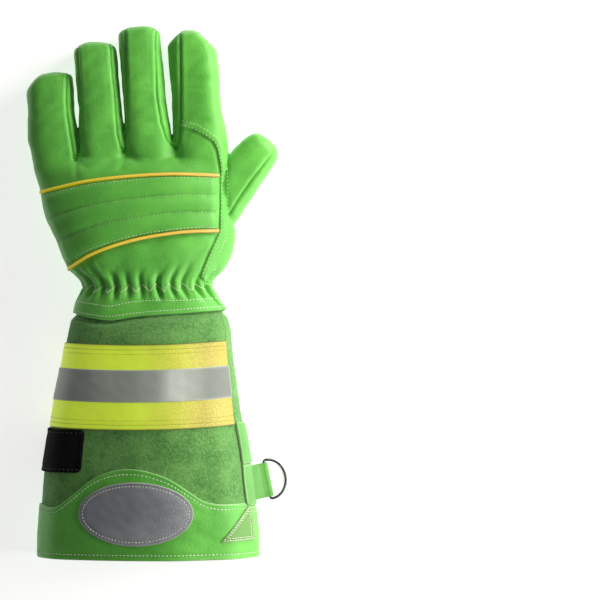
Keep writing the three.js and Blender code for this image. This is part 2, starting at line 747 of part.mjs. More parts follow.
function pipingSolid(down) {
  const radius = PIPING_DIAMETER / 2;
  const points = Array.from({ length: PAD_COLUMNS + 1 }, (_, i) =>
    padPoint(i / PAD_COLUMNS, down, radius + LAYER_GAP * 2),
  );
  const shape = new THREE.Shape();
  shape.absarc(0, 0, radius, 0, 2 * Math.PI, false);
  const geometry = new THREE.ExtrudeGeometry(shape, {
    extrudePath: new THREE.CatmullRomCurve3(points),
    steps: PIPING_STEPS,
    curveSegments: ROUND_SIDES / 2,
    bevelEnabled: false,
  });
  return fromGeometry(geometry);
}

// Cuff pieces
const seamTurn = SEAM_GAP / (WRIST_WIDTH / 2) / DEGREE;
const cuffTop = CUFF_LATTICE[0];
const cuffBack = cuffSheet({
  from: SEAM_THUMB,
  to: SEAM_LITTLE,
  high: cuffTop,
  low: -CUFF_LENGTH,
  inner: -SUEDE_WALL,
  outer: 0,
});
const cuffPalm = cuffSheet({
  from: SEAM_LITTLE + seamTurn,
  to: 360 + SEAM_THUMB - seamTurn,
  high: cuffTop,
  low: -CUFF_LENGTH,
  inner: -SUEDE_WALL,
  outer: 0,
});

const tapeOuter = LAYER_GAP + TAPE_WALL;
const tapeMiddle = -TAPE_PLACE - TAPE_WIDTH / 2;
const reflectiveBase = cuffSheet({
  from: TAPE_END,
  to: SEAM_LITTLE,
  high: -TAPE_PLACE,
  low: -TAPE_PLACE - TAPE_WIDTH,
  inner: LAYER_GAP,
  outer: tapeOuter,
});
const reflectiveStrip = cuffSheet({
  from: TAPE_END,
  to: SEAM_LITTLE,
  high: tapeMiddle + SILVER_WIDTH / 2,
  low: tapeMiddle - SILVER_WIDTH / 2,
  inner: tapeOuter + LAYER_GAP,
  outer: tapeOuter + LAYER_GAP + TAPE_WALL / 2,
});

// Hem panel with its wavy top, and the patches on it
const patchOuter = LAYER_GAP + PATCH_WALL;
const wave = HEM_WAVE.map(({ across, along }) => [
  (across * HEM_WIDTH) / 2,
  -along * CUFF_LENGTH,
]);
const hemBand = cuffSheet({
  from: SEAM_THUMB + seamTurn,
  to: SEAM_LITTLE,
  high: -CUFF_LENGTH * HEM_START,
  low: -CUFF_LENGTH,
  inner: LAYER_GAP,
  outer: patchOuter,
});
const belowWave = [
  ...wave,
  [FAR, wave[wave.length - 1][1]],
  [FAR, -FAR],
  [-FAR, -FAR],
  [-FAR, wave[0][1]],
];
const hemPanel = hemBand.intersect(prism(belowWave, -FAR, FAR));

function patchLayer(outline) {
  const layer = cuffSheet({
    from: SEAM_THUMB + seamTurn,
    to: LITTLE_SIDE,
    high: -CUFF_LENGTH * HEM_START,
    low: -CUFF_LENGTH,
    inner: patchOuter + LAYER_GAP,
    outer: patchOuter + LAYER_GAP + TAPE_WALL,
  });
  return layer.intersect(prism(outline, 0, FAR));
}
const ovalCentre = [(OVAL_PLACE.across * HEM_WIDTH) / 2, -OVAL_PLACE.along * CUFF_LENGTH];
const oval = Array.from({ length: OVAL_SIDES }, (_, i) => {
  const angle = (i * 2 * Math.PI) / OVAL_SIDES;
  return [
    ovalCentre[0] + (OVAL_WIDTH / 2) * Math.cos(angle),
    ovalCentre[1] + (OVAL_HEIGHT / 2) * Math.sin(angle),
  ];
});
const cornerPoint = [(CORNER_PLACE.across * HEM_WIDTH) / 2, -CORNER_PLACE.along * CUFF_LENGTH];
const corner = CORNER_OUTLINE.map(({ across, along }) => [
  cornerPoint[0] + across * CORNER_PATCH_SIZE,
  cornerPoint[1] + along * CORNER_PATCH_SIZE,
]);

// Palm side of the cuff: a half-round patch, the hook strip on its backing, and the strap over it
const veinMiddle = VEIN_PATCH_WIDTH * VEIN_SHIFT;
const veinTop = -BAND_LENGTH - LAYER_GAP * 2;
const veinOutline = Array.from({ length: COLUMNS / 2 + 1 }, (_, i) => {
  const angle = (i * 2 * Math.PI) / COLUMNS;
  return [
    veinMiddle + (VEIN_PATCH_WIDTH / 2) * power(Math.cos(angle), VEIN_POWER),
    veinTop - VEIN_PATCH_LENGTH * power(Math.max(Math.sin(angle), 0), VEIN_POWER),
  ];
});
const veinPatch = cuffSheet({
  from: SEAM_LITTLE,
  to: 360,
  high: veinTop,
  low: veinTop - VEIN_PATCH_LENGTH * 1.1,
  inner: LAYER_GAP,
  outer: patchOuter,
}).intersect(prism(veinOutline, -FAR, section(veinTop).mid));

const closureMiddle = -HOOK_PLACE - HOOK_WIDTH / 2;
const closureBacking = cuffSheet({
  from: BACKING_START,
  to: BACKING_END,
  high: closureMiddle + BACKING_WIDTH / 2,
  low: closureMiddle - BACKING_WIDTH / 2,
  inner: LAYER_GAP,
  outer: patchOuter,
});
const ramp = (from, to, a, b) => (degrees) => mix(a, b, smooth(from, to, degrees));
const hookInner = ramp(SEAM_LITTLE - 6, BACKING_START - 1, LAYER_GAP, patchOuter + LAYER_GAP);
const hookStrip = cuffSheet({
  from: HOOK_START,
  to: HOOK_END,
  high: -HOOK_PLACE,
  low: -HOOK_PLACE - HOOK_WIDTH,
  inner: hookInner,
  outer: (degrees) => hookInner(degrees) + PATCH_WALL,
});
const strapLift = patchOuter + LAYER_GAP;
const pastEdge = (end, degrees) =>
  smooth(end + STEP_CLEAR, end + STEP_CLEAR + STEP_TURN, degrees);
const strapInner = (degrees) => {
  const overHook = (PATCH_WALL + LAYER_GAP) * (1 - pastEdge(HOOK_END, degrees));
  return strapLift + overHook - patchOuter * pastEdge(BACKING_END, degrees);
};
const strapTop = -STRAP_PLACE + STRAP_WIDTH / 2;
const strapLow = -STRAP_PLACE - STRAP_WIDTH / 2;
const strapSheet = cuffSheet({
  from: STRAP_START,
  to: 360 + SEAM_THUMB - seamTurn,
  high: strapTop,
  low: strapLow,
  inner: strapInner,
  outer: (degrees) => strapInner(degrees) + STRAP_WALL,
});
const strapEnd = section(-STRAP_PLACE).half * STRAP_ROOT_START;
function strapOutline() {
  const tip = strapEnd - STRAP_LENGTH;
  const rootHalf = STRAP_ROOT_WIDTH / 2;
  const step = (STRAP_WIDTH - STRAP_ROOT_WIDTH) / 2;
  const shoulder = step * STRAP_SHOULDER;
  const points = [];
  const round = (x, y, start, radius) => {
    for (let i = 0; i <= 4; i += 1) {
      const angle = (start + i * 22.5) * DEGREE;
      points.push([x + radius * Math.cos(angle), y + radius * Math.sin(angle)]);
    }
  };
  round(tip + STRAP_CORNER, strapTop - STRAP_CORNER, 90, STRAP_CORNER);
  round(tip + STRAP_CORNER, strapLow + STRAP_CORNER, 180, STRAP_CORNER);
  round(strapEnd - shoulder, strapLow + shoulder, 270, shoulder);
  points.push([strapEnd + shoulder, -STRAP_PLACE - rootHalf], [FAR, -STRAP_PLACE - rootHalf]);
  points.push([FAR, -STRAP_PLACE + rootHalf], [strapEnd + shoulder, -STRAP_PLACE + rootHalf]);
  round(strapEnd - shoulder, strapTop - shoulder, 0, shoulder);
  return points;
}
const strap = strapSheet.intersect(prism(strapOutline(), -FAR, FAR));

// Ring and tab at the thumb-side edge, drawn along their own bar and then placed
function cuffSolid(offset) {
  const angles = Array.from({ length: COLUMNS }, (_, i) => (i * 2 * Math.PI) / COLUMNS);
  const rows = CUFF_LATTICE.toReversed();
  return loft(rows.map((y) => angles.map((a) => cuffSkin(a, y, offset))));
}
const barLift = RING_WIRE / 2 + (RING_DEPTH - RING_WIRE / 2) * Math.sin(RING_DROOP * DEGREE);
const edge = section(-RING_PLACE);
const bar = new THREE.Vector3(
  edge.half + TAB_LENGTH * Math.cos(RING_TWIST * DEGREE),
  -RING_PLACE,
  barLift,
);
const place = (geometry, droop) =>
  geometry
    .rotateY(droop * DEGREE)
    .rotateZ(RING_TWIST * DEGREE)
    .translate(bar.x, bar.y, bar.z);

function tabSolid() {
  const hole = RING_WIRE / 2 + LAYER_GAP;
  const outer = hole + PATCH_WALL;
  const shape = new THREE.Shape();
  shape.absarc(0, 0, outer, -120 * DEGREE, 120 * DEGREE, false);
  const half = PATCH_WALL + LAYER_GAP / 2;
  shape.lineTo(-TAB_NECK, half);
  shape.lineTo(-TAB_LENGTH - TAB_HIDDEN, half);
  shape.lineTo(-TAB_LENGTH - TAB_HIDDEN, -half);
  shape.lineTo(-TAB_NECK, -half);
  shape.closePath();
  shape.holes.push(new THREE.Path().absarc(0, 0, hole, 0, 2 * Math.PI, true));
  const geometry = new THREE.ExtrudeGeometry(shape, {
    depth: TAB_WIDTH,
    bevelEnabled: false,
    curveSegments: RING_TURNS,
  });
  geometry.translate(0, 0, -TAB_WIDTH / 2).rotateX(90 * DEGREE);
  return fromGeometry(place(geometry, TAB_DROOP)).subtract(cuffSolid(LAYER_GAP));
}

// The ring's wire follows its straight bar, a corner, the round bow and the other corner
function ringPath() {
  const half = (RING_WIDTH - RING_WIRE) / 2;
  const bow = RING_DEPTH - RING_WIRE / 2 - RING_CORNER;
  const quarter = Math.PI / 2;
  const points = [];
  for (let i = 1; i < 5; i += 1) points.push([0, mix(-1, 1, i / 5) * (half - RING_CORNER)]);
  for (let i = 0; i < 3; i += 1) {
    const angle = (i / 3) * quarter;
    points.push([
      RING_CORNER * (1 - Math.cos(angle)),
      half - RING_CORNER * (1 - Math.sin(angle)),
    ]);
  }
  for (let i = 0; i <= RING_TURNS; i += 1) {
    const angle = (i / RING_TURNS) * 2 * quarter;
    points.push([RING_CORNER + bow * Math.sin(angle), half * Math.cos(angle)]);
  }
  for (let i = 2; i >= 0; i -= 1) {
    const angle = (i / 3) * quarter;
    points.push([
      RING_CORNER * (1 - Math.cos(angle)),
      -half + RING_CORNER * (1 - Math.sin(angle)),
    ]);
  }
  return points;
}

function ringSolid() {
  const path = ringPath();
  const count = path.length;
  const points = path.flatMap(([x, y], i) => {
    const [ax, ay] = path[(i + count - 1) % count];
    const [bx, by] = path[(i + 1) % count];
    const length = Math.hypot(bx - ax, by - ay);
    return Array.from({ length: ROUND_SIDES }, (_, k) => {
      const angle = (k * 2 * Math.PI) / ROUND_SIDES;
      const out = ((RING_WIRE / 2) * Math.cos(angle)) / length;
      const z = (RING_WIRE / 2) * Math.sin(angle);
      return new THREE.Vector3(x + out * (by - ay), y - out * (bx - ax), z);
    });
  });
  const faces = [];
  for (let i = 0; i < count; i += 1) {
    const [here, next] = [i * ROUND_SIDES, ((i + 1) % count) * ROUND_SIDES];
    for (let k = 0; k < ROUND_SIDES; k += 1) {
      const j = (k + 1) % ROUND_SIDES;
      faces.push(here + k, here + j, next + j, here + k, next + j, next + k);
    }
  }
  const { position } = place(new THREE.BufferGeometry().setFromPoints(points), RING_DROOP).attributes;
  const moved = points.map((_, i) => new THREE.Vector3().fromBufferAttribute(position, i));
  return solid(moved, faces);
}

// The glove
const glove = new THREE.Group();
function add(name, body, material) {
  const whole = body.decompose().reduce((a, b) => (a.volume() > b.volume() ? a : b));
  const { vertProperties, triVerts } = whole.simplify(FINEST_DETAIL).getMesh();
  const geometry = new THREE.BufferGeometry();
  geometry.setAttribute("position", new THREE.BufferAttribute(vertProperties, 3));
  geometry.setIndex(Array.from(triVerts));
  geometry.computeVertexNormals();
  const mesh = new THREE.Mesh(geometry, material);
  mesh.name = name;
  glove.add(mesh);
}

add("back_panel", upper.subtract(indexSpace(SEAM_GAP / 2)), leatherGreen());
add("index_back", upper.intersect(indexSpace(-SEAM_GAP / 2)), leatherGreen());
add("palm_panel", lower.subtract(frontSpace(SEAM_GAP)), leatherGreen());
add("middle_ring_front", lower.intersect(frontSpace(0)), leatherGreen());
strips.forEach((strip, k) =>
  add(`side_strip_${FINGERS[k].name}_${FINGERS[k + 1].name}`, strip, leatherGreen()),
);
add("thumb_back", thumbShell.intersect(thumbSpace(-1)), leatherGreen());
add("thumb_front", thumbShell.intersect(thumbSpace(1)), leatherGreen());
add("knuckle_pad", padSolid(), leatherGreen());
add("piping_top", pipingSolid(0), pipingYellow());
add("piping_bottom", pipingSolid(1), pipingYellow());
add("cuff_back", cuffBack, suedeGreen());
add("cuff_palm", cuffPalm, suedeGreen());
add("reflective_base", reflectiveBase, tapeYellow());
add("reflective_strip", reflectiveStrip, tapeSilver());
add("hem_panel", hemPanel, leatherGreen());
add("oval_patch", patchLayer(oval), ovalGrey());
add("corner_patch", patchLayer(corner), leatherGreen());
add("vein_patch", veinPatch, leatherGreen());
add("closure_backing", closureBacking, leatherGreen());
add("hook_strip", hookStrip, hookBlack());
add("strap", strap, leatherGreen());
add("ring_tab", tabSolid(), leatherGreen());
add("d_ring", ringSolid(), ringSteel());

const box = new THREE.Box3().setFromObject(glove);
glove.position.set(-(box.min.x + box.max.x) / 2, -(box.min.y + box.max.y) / 2, -box.min.z);

export default glove;
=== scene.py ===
import json
import math

import bpy
import numpy as np
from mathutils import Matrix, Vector
from mathutils.bvhtree import BVHTree


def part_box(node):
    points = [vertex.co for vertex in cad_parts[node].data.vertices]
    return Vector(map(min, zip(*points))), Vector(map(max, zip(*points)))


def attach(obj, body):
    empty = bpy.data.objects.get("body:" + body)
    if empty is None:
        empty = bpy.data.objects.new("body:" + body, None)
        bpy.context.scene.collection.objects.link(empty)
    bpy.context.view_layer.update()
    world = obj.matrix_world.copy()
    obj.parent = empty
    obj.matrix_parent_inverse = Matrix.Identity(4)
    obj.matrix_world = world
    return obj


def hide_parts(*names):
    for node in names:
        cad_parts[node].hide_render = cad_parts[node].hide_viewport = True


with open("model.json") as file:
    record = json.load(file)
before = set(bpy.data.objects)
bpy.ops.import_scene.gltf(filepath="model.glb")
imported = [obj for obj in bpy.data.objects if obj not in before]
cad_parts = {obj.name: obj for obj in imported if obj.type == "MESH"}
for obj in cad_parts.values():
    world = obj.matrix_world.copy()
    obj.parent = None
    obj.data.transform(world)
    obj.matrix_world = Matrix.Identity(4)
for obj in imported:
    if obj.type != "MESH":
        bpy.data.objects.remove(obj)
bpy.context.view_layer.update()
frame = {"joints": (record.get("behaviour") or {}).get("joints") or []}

# The shapes are worked out in millimetres around the middle of the wrist, on the surface that the
# glove lies on: x towards the thumb, y towards the fingertips, z up.
MM = 0.001
BAND_LENGTH = 20.0
WRIST_X = (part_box("cuff_back")[0].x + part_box("cuff_palm")[1].x) / 2
WRIST = np.array([WRIST_X / MM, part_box("back_panel")[0].y / MM + BAND_LENGTH, 0.0])

# Sizes of the hand, in millimetres
PALM_LENGTH = 86.5
KNUCKLE_WIDTH = 126.5
WRIST_WIDTH = 82.5
HAND_HEIGHT = 38.0
HAND_LEAN = -11.0
FINGER_HEIGHT = 26.0
THUMB_LENGTH = 67.0
THUMB_WIDTH = 27.5
THUMB_HEIGHT = 25.0
STRIP_LOW = 6.5
PAD_WIDTH = 112.0
PAD_HEIGHT = 35.0
PAD_PUFF = 3.2
PIPING_DIAMETER = 2.4
GATHERS = 23
GATHER_DEPTH = 2.3
ZIGZAG = 5.0
VOXEL = 0.9

# Sizes of the cuff and of what is sewn on it; a place is how far below the wrist something starts
CUFF_LENGTH = 175.5
HEM_WIDTH = 143.5
CUFF_HEIGHT = 49.0
LEATHER_WALL = 2.0
SUEDE_WALL = 1.8
PATCH_WALL = 1.2
TAPE_WALL = 0.8
LAYER_GAP = 0.3
TAPE_OUTER = LAYER_GAP + TAPE_WALL
PATCH_OUTER = LAYER_GAP + PATCH_WALL
CUT_EDGE = 0.5
TUCK_LENGTH = 8.0
TAPE_PLACE = 36.0
TAPE_WIDTH = 54.5
SILVER_WIDTH = 20.8
HOOK_PLACE = 91.0
HOOK_WIDTH = 28.0
HOOK_CORNER = 3.0
HOOK_FRAY = 0.5
BACKING_WIDTH = 33.0
STRAP_WALL = 1.6
STRAP_WIDTH = 47.0
STRAP_PLACE = 100.5
STRAP_ROOT_WIDTH = 27.0
STRAP_LENGTH = 74.0
STRAP_CORNER = 9.0
VEIN_PATCH_WIDTH = 81.0
VEIN_PATCH_LENGTH = 47.0
OVAL_WIDTH = 71.0
OVAL_HEIGHT = 41.5
CORNER_PATCH_SIZE = 24.0
RING_WIDTH = 27.5
RING_DEPTH = 13.4
RING_WIRE = 1.8
RING_CORNER = 1.3
RING_DROOP = math.radians(12)
TAB_WIDTH = 22.6
TAB_LENGTH = 10.0
TAB_DROOP = math.radians(24)
HEM_UNDER_TAB = -142.0
PALM_BAND_EDGE = -17.0
PALM_BAND_ROW = -10.4

# Around the cuff, in degrees from the thumb side over the back, with a radius in millimetres that
# turns angles into lengths
TURN_RADIUS = 60
SEAM_THUMB = 24
SEAM_LITTLE = 212
TAPE_END = 25
HEM_END = 6
TAB_ROOT_END = -4
HOOK_START = 122
HOOK_END = 292
BACKING_START = 220
BACKING_END = 325

# Rounding of the sections: 2 is an ellipse, more is squarer
SECTION_POWER = 2.5
FINGER_POWER = 3.1
FINGER_MID = 0.46


def table(columns, *rows):
    return dict(zip(columns.split(), np.array(rows, float).T))


# Sections of the hand. along: share of the palm's length from the wrist; spread: 0 at the wrist's
# width, 1 at the knuckles'; bottom, top: shares of the hand's height; mid: height of the widest line.
HAND_SECTIONS = table(
    "along spread lean bottom top mid",
    (0.0, 0.0, 0.0, 0.15, 1.08, 0.4),
    (0.06, 0.088, 0.08, 0.12, 1.09, 0.4),
    (0.13, 0.4, 0.1, 0.05, 1.09, 0.38),
    (0.22, 0.6, 0.07, -0.02, 1.07, 0.37),
    (0.34, 0.76, 0.16, -0.03, 1.04, 0.36),
    (0.48, 0.89, 0.4, -0.03, 1.01, 0.36),
    (0.63, 0.989, 0.59, -0.03, 0.97, 0.36),
    (0.78, 1.014, 0.768, -0.03, 0.91, 0.36),
    (0.9, 1.027, 0.868, -0.03, 0.82, 0.38),
    (0.97, 1.009, 0.914, -0.01, 0.66, 0.42),
    (1.0, 0.993, 0.955, 0.08, 0.48, 0.5),
)

# Sections of the cuff, in the same way, down from the wrist
CUFF_SECTIONS = table(
    "along lean spread bottom top mid",
    (0.0, 0.0, 0.0, 0.116, 0.838, 0.4),
    (0.05, -0.06, 0.21, 0.12, 0.865, 0.39),
    (0.1, -0.1, 0.295, 0.12, 0.91, 0.37),
    (0.15, -0.12, 0.372, 0.125, 0.945, 0.345),
    (0.2, -0.09, 0.42, 0.13, 0.97, 0.32),
    (0.35, 0.03, 0.545, 0.14, 1.0, 0.25),
    (0.51, 0.09, 0.7, 0.145, 1.01, 0.2),
    (0.67, 0.08, 0.85, 0.13, 0.99, 0.15),
    (0.81, 0.03, 0.94, 0.085, 0.95, 0.15),
    (0.92, 0.0, 0.99, 0.045, 0.91, 0.16),
    (1.0, 0.0, 1.0, 0.028, 0.88, 0.17),
)

# Fingers. root: place across the knuckles; lean: sideways travel per millimetre; tilt: share by
# which the back rises towards the thumb side; slant: how much lower the tip is on its left side;
# left, right: how far each corner of the tip is drawn in; settle: how far the root sits towards the
# thumb side. Lengths in millimetres.
FINGERS = table(
    "root lean length width height tilt slant left right settle",
    (-0.399, -0.075, 57.6, 31.4, 0.94, 0.0, 7.0, 4.5, 1.2, 2.6),
    (-0.143, -0.09, 75.8, 28.8, 1.0, 0.0, 2.5, 1.5, 1.5, 0.0),
    (0.095, -0.092, 86.3, 28.6, 1.02, 0.0, 2.5, 1.0, 2.0, 0.0),
    (0.362, -0.089, 82.8, 33.4, 1.04, 0.1, 1.0, 6.0, 10.0, 0.0),
)

# Where two fingers part, as shares of the palm's length
CROTCHES = (0.977, 1.037, 1.06)

# Seams of the side strips, seen from above, in millimetres: each strip's left and right side
STRIP_SEAMS = (
    (
        ((-52.4, 150), (-52.4, 134), (-53.0, 122.5), (-51.7, 108), (-48.7, 90), (-47.3, 84.0)),
        ((-47.3, 84.0), (-45.6, 88), (-43.5, 100), (-44.5, 125), (-45.5, 150), (-46.4, 168)),
    ),
    (
        ((-24.4, 170), (-24.2, 157), (-21.1, 125), (-19.4, 100), (-17.5, 92), (-15.3, 89.2)),
        ((-15.3, 89.2), (-13.8, 93), (-13.2, 104), (-13.6, 125), (-14.4, 150), (-15.2, 180)),
    ),
    (
        ((5.4, 180), (5.6, 166), (6.3, 125), (8.6, 108), (12.6, 97), (17.8, 91.2)),
        ((17.8, 91.2), (20.3, 95), (21.3, 103), (21.3, 125), (21.1, 150), (21.0, 178)),
    ),
)

# Thumb. along: share of its length from where it leaves the hand; turn: degrees from +y
THUMB_ROWS = table(
    "along turn half rise",
    (-0.36, 26, 0.46, 0.96),
    (0.0, 28, 0.5, 1.0),
    (0.3, 30, 0.53, 1.0),
    (0.58, 34, 0.535, 0.98),
    (0.82, 38, 0.485, 0.93),
    (1.0, 41, 0.4, 0.8),
)
THUMB_START = (0.312, 0.49)
THUMB_SEAM_SHIFT = 0.3

# Folds of the cuff, each a long ridge down it: place and width in degrees, height in millimetres,
# and the share of the cuff's length where it begins
CUFF_FOLDS = table(
    "degrees wide high start",
    (82, 17, 3.2, 0.05),
    (140, 11, 0.81, 0.3),
    (48, 10, 0.81, 0.35),
    (246, 12, 1.08, 0.7),
    (297, 12, 1.08, 0.7),
)

# Seam of the index finger's back. across: share of the half width; along: share of the palm
INDEX_SEAM = table(
    "across along",
    (0.515, 1.21),
    (0.634, 1.187),
    (0.744, 1.145),
    (0.837, 1.097),
    (0.882, 1.037),
    (0.888, 0.9),
    (0.879, 0.8),
    (0.836, 0.42),
    (0.734, 0.24),
    (0.773, 0.09),
)

# Edges of the knuckle pad. across: share of the section's half width; along: share of the palm
PAD_TOP = table(
    "across along",
    (0.845, 0.845),
    (0.367, 0.85),
    (-0.016, 0.834),
    (-0.446, 0.797),
    (-0.753, 0.751),
    (-0.95, 0.72),
)
PAD_BOTTOM = table(
    "across along",
    (0.806, 0.428),
    (0.485, 0.42),
    (0.211, 0.396),
    (-0.065, 0.361),
    (-0.365, 0.305),
    (-0.625, 0.243),
    (-0.824, 0.18),
    (-0.95, 0.14),
)
PAD_CHANNELS = (0.36, 0.66)

# Top edge of the hem panel. across: share of half the hem's width; along: share of the cuff
HEM_WAVE = table(
    "across along",
    (-1.1, 0.8),
    (-0.96, 0.802),
    (-0.81, 0.806),
    (-0.63, 0.75),
    (-0.49, 0.703),
    (-0.35, 0.675),
    (-0.19, 0.662),
    (-0.03, 0.665),
    (0.12, 0.681),
    (0.24, 0.702),
    (0.41, 0.749),
    (0.51, 0.778),
    (0.62, 0.791),
    (0.75, 0.794),
    (1.1, 0.795),
)

# Places of the oval and of the corner patch, as shares of half the hem's width and of the cuff
OVAL_PLACE = (-0.091, 0.827)
CORNER_PLACE = (0.952, 0.931)
CORNER_OUTLINE = ((0.0, 0.0), (-0.1, 1.0), (-0.92, -0.03))

# Lower edge of the leather band on the back, and the upper row of stitches, in millimetres
BAND_EDGE = table(
    "x edge row",
    (-58.0, -14.5, -7.6),
    (-49.0, -16.0, -8.2),
    (-40.0, -18.5, -9.6),
    (-31.0, -20.1, -11.0),
    (-23.5, -20.7, -11.9),
    (-16.0, -19.9, -10.4),
    (-8.8, -18.6, -9.0),
    (6.0, -17.2, -8.0),
    (22.0, -16.2, -8.1),
    (41.0, -14.7, -6.9),
    (58.0, -13.8, -6.0),
)

# Where the thumb side's strip goes on over the wrist and the band
BAND_SEAM = ((38.6, 0.0), (42.0, -5.0), (46.5, -10.5), (51.0, -15.5), (60.0, -30.0))

# The half-round patch on the palm side: its shift as a share of its width, and its squareness
VEIN_SHIFT = 0.06
VEIN_POWER = 0.85

# The seam across the roots of the middle and ring fingers' front, as a share of the palm's length
FRONT_SEAM = 0.915


# Small sums
def smooth(a, b, v):
    t = np.clip((v - a) / (b - a), 0, 1)
    return t * t * (3 - 2 * t)


def mix(a, b, t):
    return a + (b - a) * t


def power(v, p):
    return np.sign(v) * np.abs(v) ** p


def bump(v, width):
    return np.exp(-((v / width) ** 2))


def round_off(share):
    """How far a rounded edge draws in: 1 at the edge, 0 from where the share is 1."""
    return 1 - np.sqrt(1 - (1 - np.clip(share, 0, 1)) ** 2)


def curve(rows, key, column, at):
    """Value of a column at a place, by a smooth curve through the table's rows."""
    x, v = rows[key], rows[column]
    if x[0] > x[-1]:
        x, v = x[::-1], v[::-1]
    slope = np.gradient(v, x)
    slope[1:-1] = (v[2:] - v[:-2]) / (x[2:] - x[:-2])
    t = np.clip(at, x[0], x[-1])
    i = np.clip(np.searchsorted(x, t, side="right") - 1, 0, len(x) - 2)
    span = x[i + 1] - x[i]
    s = (t - x[i]) / span
    ease = mix(v[i], v[i + 1], s * s * (3 - 2 * s))
    return ease + s * (1 - s) ** 2 * span * slope[i] + s * s * (s - 1) * span * slope[i + 1]


def waves(points, size, seed, count=9):
    """Soft random unevenness from -1 to 1, with humps of about the given size."""
    rng = np.random.default_rng(seed)
    turns = rng.normal(size=(count, 3))
    turns /= np.linalg.norm(turns, axis=1)[:, None]
    turns *= np.pi / size * rng.uniform(0.6, 1.4, (count, 1))
    phases = rng.uniform(0, 2 * np.pi, count)
    return np.sin(points @ turns.T + phases).sum(1) / np.sqrt(count)


def unit(vectors):
    return vectors / np.maximum(np.linalg.norm(vectors, axis=-1, keepdims=True), 1e-9)


# The shape of the hand and the cuff
def section(y):
    """Centre, half width, bottom, top and widest height of the glove's section at y."""
    y = np.asarray(y, float)
    up, down = np.maximum(y, 0) / PALM_LENGTH, np.maximum(-y, 0) / CUFF_LENGTH
    near = 1 - smooth(0, BAND_LENGTH, -y)
    found = {}
    for name in ("bottom", "top", "mid", "spread", "lean"):
        hand = curve(HAND_SECTIONS, "along", name, up)
        cuff = curve(CUFF_SECTIONS, "along", name, down)
        if name in ("bottom", "top"):
            step = HAND_HEIGHT * HAND_SECTIONS[name][0] - CUFF_HEIGHT * CUFF_SECTIONS[name][0]
            hand = hand * HAND_HEIGHT
            cuff = cuff * CUFF_HEIGHT + step * near
        found[name] = np.where(y > 0, hand, cuff)
    wide = np.where(y > 0, KNUCKLE_WIDTH, HEM_WIDTH)
    half = mix(WRIST_WIDTH, wide, found["spread"]) / 2
    mid = mix(found["bottom"], found["top"], found["mid"])
    return HAND_LEAN * found["lean"], half, found["bottom"], found["top"], mid


ROUND = np.linspace(0, 2 * np.pi, 721)


def wrist_share(angle):
    """How far round the wrist an angle lies, as a share of the way round from the thumb side."""
    half_width, half_height = 41, 17
    across = power(np.cos(ROUND), 2 / SECTION_POWER) * half_width
    up = power(np.sin(ROUND), 2 / SECTION_POWER) * half_height
    way = np.concatenate([[0], np.cumsum(np.hypot(np.diff(across), np.diff(up)))])
    return np.interp(np.mod(angle, 2 * np.pi), ROUND, way / way[-1])


def gather(angle, y):
    """The elastic's gathers: narrow valleys with round folds between, each of its own depth."""
    rng = np.random.default_rng(11)
    depth = rng.uniform(0.55, 1.15, GATHERS + 1)
    reach = rng.uniform(12, 24, GATHERS + 1)
    shift = rng.uniform(-0.16, 0.16, GATHERS + 1)
    depth[-1], reach[-1], shift[-1] = depth[0], reach[0], shift[0]
    share = wrist_share(angle) * GATHERS + 0.3 * np.sin(y / 9 + 4 * angle) * smooth(4, 22, y)
    near = np.clip(np.round(share), 0, GATHERS).astype(int)
    away = share - near - shift[near]
    side = np.where(y > 0, reach[near], BAND_LENGTH * 0.55)
    fade = (1 - smooth(0, 1, np.abs(y) / side)) ** 1.2
    wide = 0.17 + 0.09 * np.clip(np.abs(y) / 20, 0, 1)
    return GATHER_DEPTH * fade * depth[near] * (0.55 - 1.7 * bump(away, wide))


def fold(angle, y):
    """The cuff's long folds and its slight unevenness."""
    degrees = np.degrees(np.mod(angle, 2 * np.pi))
    high = np.zeros_like(degrees * y)
    for centre, wide, tall, start in zip(*CUFF_FOLDS.values()):
        along = smooth(start, start + 0.15, -y / CUFF_LENGTH)
        high = high + tall * along * bump(degrees - centre, wide)
    place = np.stack([np.cos(angle) * 55 + 0 * y, y + 0 * angle, np.sin(angle) * 55 + 0 * y], -1)
    loose = smooth(20, 50, -y) * 0.5
    rough = waves(place.reshape(-1, 3), 26, 5).reshape(high.shape)
    return high + loose * rough


def skin(angle, y, offset=0.0):
    """Points of the hand and cuff's outer surface, moved outwards by an offset."""
    angle, y, offset = np.broadcast_arrays(angle, y, offset)
    centre, half, bottom, top, mid = section(y)
    out = offset + gather(angle, y) * (y > -BAND_LENGTH) + fold(angle, y)
    across = power(np.cos(angle), 2 / SECTION_POWER)
    up = power(np.sin(angle), 2 / SECTION_POWER)
    rise = np.where(up > 0, top - mid, mid - bottom)
    return np.stack([centre + (half + out) * across, y, mid + (rise + out) * up], -1)


def angle_at(across, under=False):
    """The angle round the section of a share of its half width, on the back or the palm side."""
    angle = np.arccos(np.clip(power(across, SECTION_POWER / 2), -1, 1))
    return 2 * np.pi - angle if under else angle


def cuff_skin(angle, y, offset=0.0):
    """The same for the suede cuff, which starts inside the leather band."""
    level = skin(angle, -BAND_LENGTH / 2)
    edge = band_edge(level[..., 0], level[..., 2])
    tuck = (LEATHER_WALL + LAYER_GAP * 2) * smooth(edge - 5, edge - 0.5, y)
    return skin(angle, y, offset - tuck)


def plan_angle(x, y, under=False):
    """The angle round the section of a point seen from above, or from below."""
    centre, half, *_ = section(y)
    return angle_at((x - centre) / half, under)


# The hand and fingers as a field: below zero inside, and about millimetres from the surface
def rounded_field(shares, scales, p):
    """A superellipsoid from a point's shares of its half sizes, and those sizes."""
    total = sum(np.abs(s) ** p for s in shares) ** (1 / p)
    total = np.maximum(total, 1e-6)
    steep = sum(((np.abs(s) / total) ** (p - 1) / r) ** 2 for s, r in zip(shares, scales))
    return (total - 1) / np.sqrt(np.maximum(steep, 1e-9))


